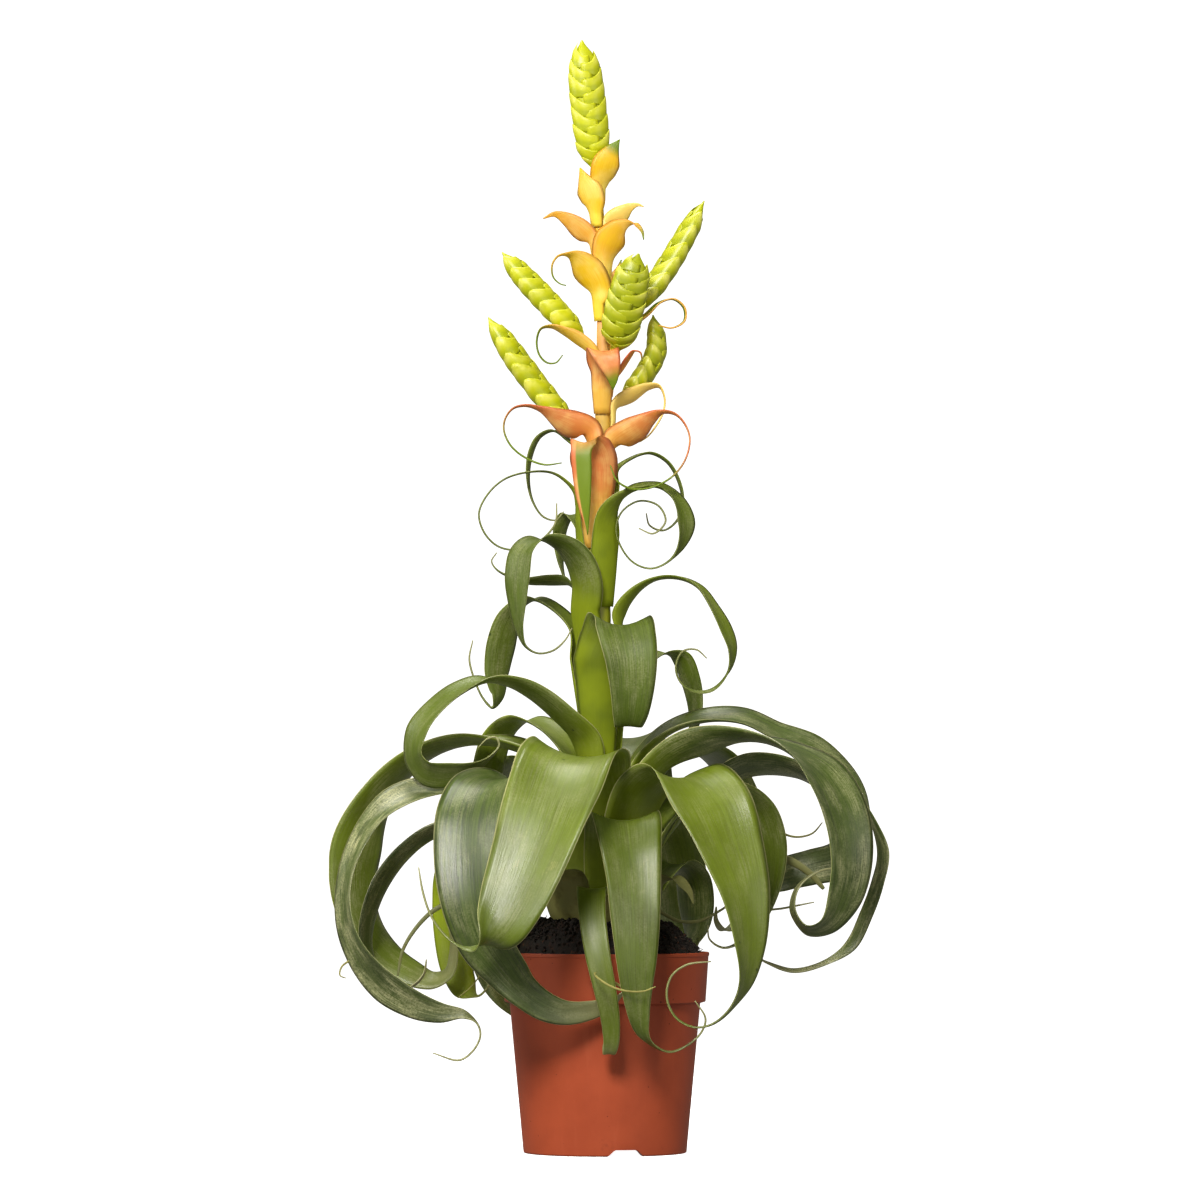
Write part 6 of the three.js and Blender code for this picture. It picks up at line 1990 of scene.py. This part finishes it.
@dataclass
class GrowPot:
    """A thin round plastic pot with a rim band, a foot ring with notches and drain holes."""

    foot_radius: float = 47.3
    foot_height: float = 4
    foot_ring: float = 3.4
    edge: float = 1.2
    body_top: float = 55.2
    band_bottom: float = 87.5
    band_radius: float = 58.3
    rim_radius: float = 60
    height: float = 116
    bead: float = 2.3
    proud: float = 0.4
    wall: float = 1.2
    floor: float = 1.4
    notch_width: float = 21.5
    notch_slope: float = 4
    notch_azimuths: Row = (285, 45, 165)
    drain_radius: float = 4
    drain_circle: float = 30
    drain_count: int = 4
    drill_reach: float = 3
    drill_sides: int = 28
    sides: int = 240
    sharp: float = 28

    def inside(self, height: float) -> float:
        """Works out the inner radius of the wall.

        Args:
            height: the height.

        Returns:
            The radius there.
        """
        if height <= self.band_bottom - 1:
            share = height / (self.band_bottom - 1)
            return self.foot_radius + (self.body_top - self.foot_radius) * share - self.wall
        share = max((height - self.band_bottom) / (self.height - self.band_bottom), 0)
        return self.band_radius + (self.rim_radius - self.band_radius) * share - self.wall

    def profile(self) -> list[tuple[float, float]]:
        """Runs round the wall's section from the middle of the underside to the middle of the floor.

        Returns:
            Radius and height of each corner.
        """
        foot, band, edge = self.foot_height, self.band_bottom, self.edge
        ring = self.foot_radius - self.foot_ring
        rim, bead = self.rim_radius + self.proud, self.height - self.bead
        mouth, floor = self.rim_radius - self.wall, self.foot_height + self.floor
        rows = [(0.0, foot), (20, foot), (ring, foot), (ring + 0.2, foot - 0.5), (ring + 0.5, 0.25),
                (ring + 0.9, 0)]
        rows += [(self.foot_radius - edge * (1 - math.sin(a)), edge * (1 - math.cos(a)))
                 for a in np.linspace(0, math.pi / 2, 6)]
        for height in np.linspace(6, band - 1.4, 24):
            share = (height - edge) / (band - 1 - edge)
            rows.append((self.foot_radius + (self.body_top - self.foot_radius) * share, height))
        rows += [(self.body_top, band - 1), (self.body_top + 0.5, band - 0.75),
                 (self.band_radius - 0.5, band - 0.25), (self.band_radius, band + 0.2)]
        for height in np.linspace(band + 1, bead - 0.3, 12):
            share = (height - band) / (bead - band)
            rows.append((self.band_radius + (self.rim_radius - self.band_radius) * share, height))
        rows += [(self.rim_radius, bead), (rim, bead + self.proud), (rim, self.height - self.proud),
                 (rim - 0.15, self.height - 0.12), (rim - self.proud, self.height),
                 (mouth + 0.15, self.height), (mouth, self.height - 0.15)]
        rows += [(self.inside(h), h) for h in (self.height - 6, self.height - 16, band + 1)]
        rows.append((self.inside(band - 1), band))
        rows += [(self.inside(h), h) for h in (60, 30, floor + 0.6)]
        rows += [(self.inside(floor) - 0.6, floor), (20, floor), (0.0, floor)]
        return rows

    def notch_height(self, azimuth: np.ndarray) -> np.ndarray:
        """Works out how high the foot ring is cut.

        Args:
            azimuth: azimuths in degrees.

        Returns:
            The height of the cut at each of them.
        """
        cut = np.zeros_like(azimuth)
        top = self.foot_height - 0.2
        for middle in self.notch_azimuths:
            away = np.abs((azimuth - middle + 180) % 360 - 180) * math.pi / 180 * self.foot_radius
            slope = np.clip((self.notch_width / 2 - away) / self.notch_slope, 0, 1)
            cut = np.maximum(cut, slope * top)
        return cut

    def build(self) -> Mesh:
        """Turns the section, cuts the notches and drills the drain holes.

        Returns:
            The mesh.
        """
        rows = self.profile()
        azimuth = np.linspace(0, 360, self.sides, endpoint=False)
        turn = np.radians(azimuth)
        cut = self.notch_height(azimuth)
        corners = [np.array([[0.0, 0.0, rows[0][1]]])]
        for radius, height in rows[1:-1]:
            on_foot = radius > self.foot_radius - self.foot_ring and height < self.foot_height + 1
            corners.append(level_ring(radius, turn, np.maximum(height, cut) if on_foot else height))
        corners.append(np.array([[0.0, 0.0, rows[-1][1]]]))
        faces: list[Polygon] = []
        n, rings = self.sides, len(rows) - 2
        last = 1 + (rings - 1) * n
        for i in range(n):
            j = (i + 1) % n
            faces.append((0, 1 + j, 1 + i))
            for first in range(1, last, n):
                a, b = first + i, first + j
                faces.append((a, b, b + n, a + n))
            faces.append((last + i, last + j, last + n))
        return self._drilled(Shell(np.concatenate(corners), faces).mesh("pot_whole"))

    def _drilled(self, whole: Mesh) -> Mesh:
        """Cuts the drain holes.

        Args:
            whole: the pot without holes.

        Returns:
            The pot with holes.
        """
        pot = add_object("pot_whole", whole)
        angle = round_angles(self.drill_sides)
        ends = (self.foot_height - self.drill_reach, self.foot_height + self.floor + self.drill_reach)
        corners, faces = [], []
        for k in range(self.drain_count):
            turn = 2 * math.pi * k / self.drain_count
            x, y = self.drain_circle * math.cos(turn), self.drain_circle * math.sin(turn)
            drill = tube_shell([level_ring(self.drain_radius, angle, height, x, y) for height in ends])
            faces += [tuple(c + len(drill.corners) * k for c in face) for face in drill.faces]
            corners.append(drill.corners)
        cutter = add_object("pot_drill", Shell(np.concatenate(corners), faces).mesh("pot_drill"))
        modifier = pot.modifiers.new("drill", "BOOLEAN")
        modifier.object = cutter
        modifier.operation = "DIFFERENCE"
        modifier.solver = "EXACT"
        made = plain_mesh("pot_shell", pot, cutter)
        made.set_sharp_from_angle(angle=math.radians(self.sharp))
        return made

    def dress(self) -> Object:
        """Adds the pot to the scene."""
        return add_piece(self.build(), PotFinish().material(), ["pot"])


class Litter(NamedTuple):
    """Loose peat: its name, count, length for its width, range of half widths, and lift."""

    name: str
    count: int
    long: float
    sizes: tuple[float, float]
    lift: float


@dataclass
class PeatMound:
    """Crumbly peat that fills the pot and rises to the plant.

    Its rings stand at wall_rings (the height whose inner wall they follow, and their own height),
    then on the mound, and last in the bowl under the bulb.
    """

    pot: GrowPot
    mound: Pairs = (
        (56.4, 112), (52, 121), (44, 128), (36, 133), (30, 133),
    )
    bowl_height: float = 152
    bowl_radius: float = 35.3
    bottom: float = 95.7
    hole: float = 9.3
    tilt: float = 0.03
    level_rim: tuple[float, float] = (57, 6)
    lump_pitch: float = 0.09
    lump_level: float = 3.0
    lump_height: float = 1.3
    floor_gap: float = 0.3
    wall_gap: float = 0.5
    wall_rings: Pairs = ((85, 85), (85, 90), (110, 110))
    mound_rings: tuple[float, float, int] = (56.8, 28, 26)
    bowl_rings: tuple[float, int] = (25.5, 8)
    sides: int = 120
    crumb_rings: Pairs = ((-1, 0.35), (-0.45, 0.95), (0.4, 0.85), (1, 0.3))
    crumb_sides: int = 6
    wobble: float = 0.22
    litters: tuple[Litter, ...] = (
        Litter("peat_crumbs", 1500, 1.1, (0.8, 2.1), 0.3),
        Litter("peat_straws", 60, 14.0, (0.25, 0.42), 1.0),
    )
    strewn: tuple[float, float] = (27.0, 57.0)
    flatness: Point = (1, 1, 0.45)
    size_spread: float = 0.2
    turn_spread: float = 0.3
    seed: int = 8

    def surface(self, radius: float | np.ndarray, turn: np.ndarray, lift: float = 0.0) -> np.ndarray:
        """Finds points on the uneven top of the mound.

        Args:
            radius: their distance from the axis.
            turn: their angles.
            lift: their height above it.

        Returns:
            The points.
        """
        x, y = radius * np.cos(turn), radius * np.sin(turn)
        away = np.hypot(x, y)
        radii, heights = zip(*self.mound[::-1])
        pitch, level = self.lump_pitch, self.lump_level
        lumps = [noise.fractal(Vector((a * pitch, b * pitch, level)), 1.0, 2.0, 4) for a, b in zip(x, y)]
        edge, fade = self.level_rim
        leaning = self.tilt * x * np.clip((edge - away) / fade, 0, 1)
        top = smooth_between(radii, heights, away) - leaning + self.lump_height * np.array(lumps)
        return np.stack([x, y, top + lift], 1)

    def build(self) -> Shell:
        """Turns the peat's section, its top uneven.

        Returns:
            The shell.
        """
        floor = self.pot.foot_height + self.pot.floor + self.floor_gap
        turn = round_angles(self.sides)
        rings = [level_ring(self.pot.inside(at) - self.wall_gap, turn, height)
                 for at, height in ((floor, floor), *self.wall_rings)]
        rings += [self.surface(radius, turn) for radius in np.linspace(*self.mound_rings)]
        outer, count = self.bowl_rings
        for radius in np.linspace(outer, self.hole, count):
            height = self.bowl_height - math.sqrt(self.bowl_radius ** 2 - radius ** 2)
            rings.append(level_ring(radius, turn, height))
        rings.append(level_ring(self.hole, turn, self.bottom))
        return tube_shell(rings)

    def crumb(self, long: float) -> Shell:
        """Makes one lump of unit size.

        Args:
            long: how much longer than wide it is.

        Returns:
            Its shell.
        """
        angle = round_angles(self.crumb_sides)
        rings = []
        for height, radius in self.crumb_rings:
            ring = level_ring(radius, angle, height * long)
            ring[:, 0] = radius * (1 + self.wobble * np.sin(angle * 2 + height * 3)) * np.cos(angle)
            rings.append(ring)
        return tube_shell(rings)

    def strew(self, litter: Litter, scatter: Scatter, finish: Material,
              seed: int) -> Mesh:
        """Strews lumps over the mound.

        Args:
            litter: the lumps' plan.
            scatter: the tree that places them.
            finish: their material.
            seed: the random seed.

        Returns:
            The joined mesh.
        """
        rng = np.random.default_rng(seed)
        count = litter.count
        inner, outer = self.strewn
        radius = np.sqrt(rng.uniform(inner ** 2, outer ** 2, count))
        places = self.surface(radius, rng.uniform(0, 2 * math.pi, count), litter.lift)
        size = rng.uniform(*litter.sizes, count) * rng.uniform(0.6, 1.0, count)
        along = unit(rng.normal(size=(count, 3)) * self.flatness)
        outward = unit(rng.normal(size=(count, 3)))
        guide = guide_mesh("litter_places", places, along, outward, np.repeat(size[:, None], 3, 1))
        lump = self.crumb(litter.long).mesh("one_lump")
        return scatter.spread(litter.name, guide, lump, finish, self.size_spread, self.turn_spread, seed)

    def dress(self) -> None:
        """Adds the peat, its crumbs and its straws to the scene."""
        finish = PeatFinish().material()
        add_piece(self.build().mesh("peat_mound"), finish, ["soil"])
        scatter = Scatter("litter_on_peat")
        for i, litter in enumerate(self.litters):
            add_piece(self.strew(litter, scatter, finish, self.seed + i), finish)


class Lamp(NamedTuple):
    """A soft square lamp: its name, place and side in metres, and power in watts."""

    name: str
    place: Point
    size: float
    power: float


@dataclass
class Studio:
    """White studio: floor, walls, soft lights and a long lens at the photograph's angle.

    The camera's lengths are millimetres; the room's, the lamps' and what they aim at are metres.
    """

    distance: float = 3750
    eye: float = 200
    aim: float = 320
    centre: float = -2.9
    span: float = 696
    sensor: float = 36
    room: float = 6.5
    reach: float = 20
    warm: Colour = (1.0, 0.97, 0.90)
    glow: float = 0.21
    lit: Point = (0, 0, 0.28)
    lamps: tuple[Lamp, ...] = (
        Lamp("key", (-0.35, -1.55, 1.3), 0.5, 38),
        Lamp("side", (-1.4, -0.6, 0.9), 0.5, 11),
        Lamp("fill", (1.5, -1.6, 0.7), 0.9, 8),
        Lamp("top", (-0.3, 0.3, 1.8), 0.7, 18),
    )

    def camera(self) -> None:
        """Adds the camera."""
        data = bpy.data.cameras.new("photo_camera")
        data.sensor_width = self.sensor
        data.lens = self.sensor * self.distance / self.span
        data.clip_end = self.reach
        camera = add_object("photo_camera", data)
        camera.location = (self.centre * MM, -self.distance * MM, self.eye * MM)
        camera.rotation_euler = (math.pi / 2 + math.atan2(self.aim - self.eye, self.distance), 0, 0)
        bpy.context.scene.camera = camera

    def light(self) -> None:
        """Adds the world's soft light and the lamps, which face the plant."""
        world = bpy.data.worlds.new("white_room")
        world.use_nodes = True
        sky = world.node_tree.nodes["Background"]
        sky.inputs["Color"].default_value = (*self.warm, 1)
        sky.inputs["Strength"].default_value = self.glow
        bpy.context.scene.world = world
        for lamp in self.lamps:
            data = bpy.data.lights.new(lamp.name, "AREA")
            data.size = lamp.size
            data.energy = lamp.power
            data.color = self.warm
            light = add_object(lamp.name, data)
            light.location = lamp.place
            towards = Vector(self.lit) - Vector(lamp.place)
            light.rotation_euler = towards.to_track_quat("-Z", "Y").to_euler()

    def sweep(self) -> None:
        """Adds the floor and the walls all round it."""
        finish = FloorFinish().material()
        foot = [(x * self.room, y * self.room, 0.0) for x, y in ((-1, -1), (1, -1), (1, 1), (-1, 1))]
        head = [(x, y, self.room) for x, y, _ in foot]
        walls = [(i, 4 + i, 4 + (i + 1) % 4, (i + 1) % 4) for i in range(4)]
        for name, corners, faces in (("studio_floor", foot, [(0, 1, 2, 3)]),
                                     ("studio_backdrop", foot + head, walls)):
            mesh = bpy.data.meshes.new(name)
            mesh.from_pydata(corners, [], faces)
            mesh.materials.append(finish)
            piece = add_object(name, mesh)
            piece.visible_diffuse = False
            piece.visible_glossy = False
            piece.visible_shadow = False

    def build(self) -> None:
        """Sets up the picture's tones, the light, the floor and the camera."""
        bpy.context.scene.view_settings.view_transform = "Standard"
        self.light()
        self.sweep()
        self.camera()


def main() -> None:
    """Builds the plant, its pot and the studio, in order."""
    logging.basicConfig(level=logging.INFO, format="%(name)s: %(message)s")
    pot = GrowPot()
    pot.dress()
    PeatMound(pot).dress()
    FlowerStalk().dress()
    rosette = BulbLeafLoft(columns=13, sheath_thickness=1.2, blade_thickness=1.1, half_angle=50, ripple=0.5)
    Foliage("rosette_leaf", ROSETTE, rosette, Slot.LEAF, LeafFinish()).dress()
    WitheredTails().dress()
    sizes = {"columns": 9, "sheath_thickness": 1.0, "blade_thickness": 1.0, "half_angle": 62}
    Foliage("stalk_leaf", STALK_LEAVES, StalkLeafLoft(**sizes, ripple=0.3), Slot.STALK_LEAF,
            LeafFinish("stalk_leaf", shine=0.34, gloss=0.35)).dress()
    Foliage("bract", BRACTS, StalkLeafLoft(**sizes, ripple=0.2), Slot.BRACT, BractFinish()).dress()
    FlowerSpike().dress()
    Studio().build()


if __name__ == "__main__":
    main()
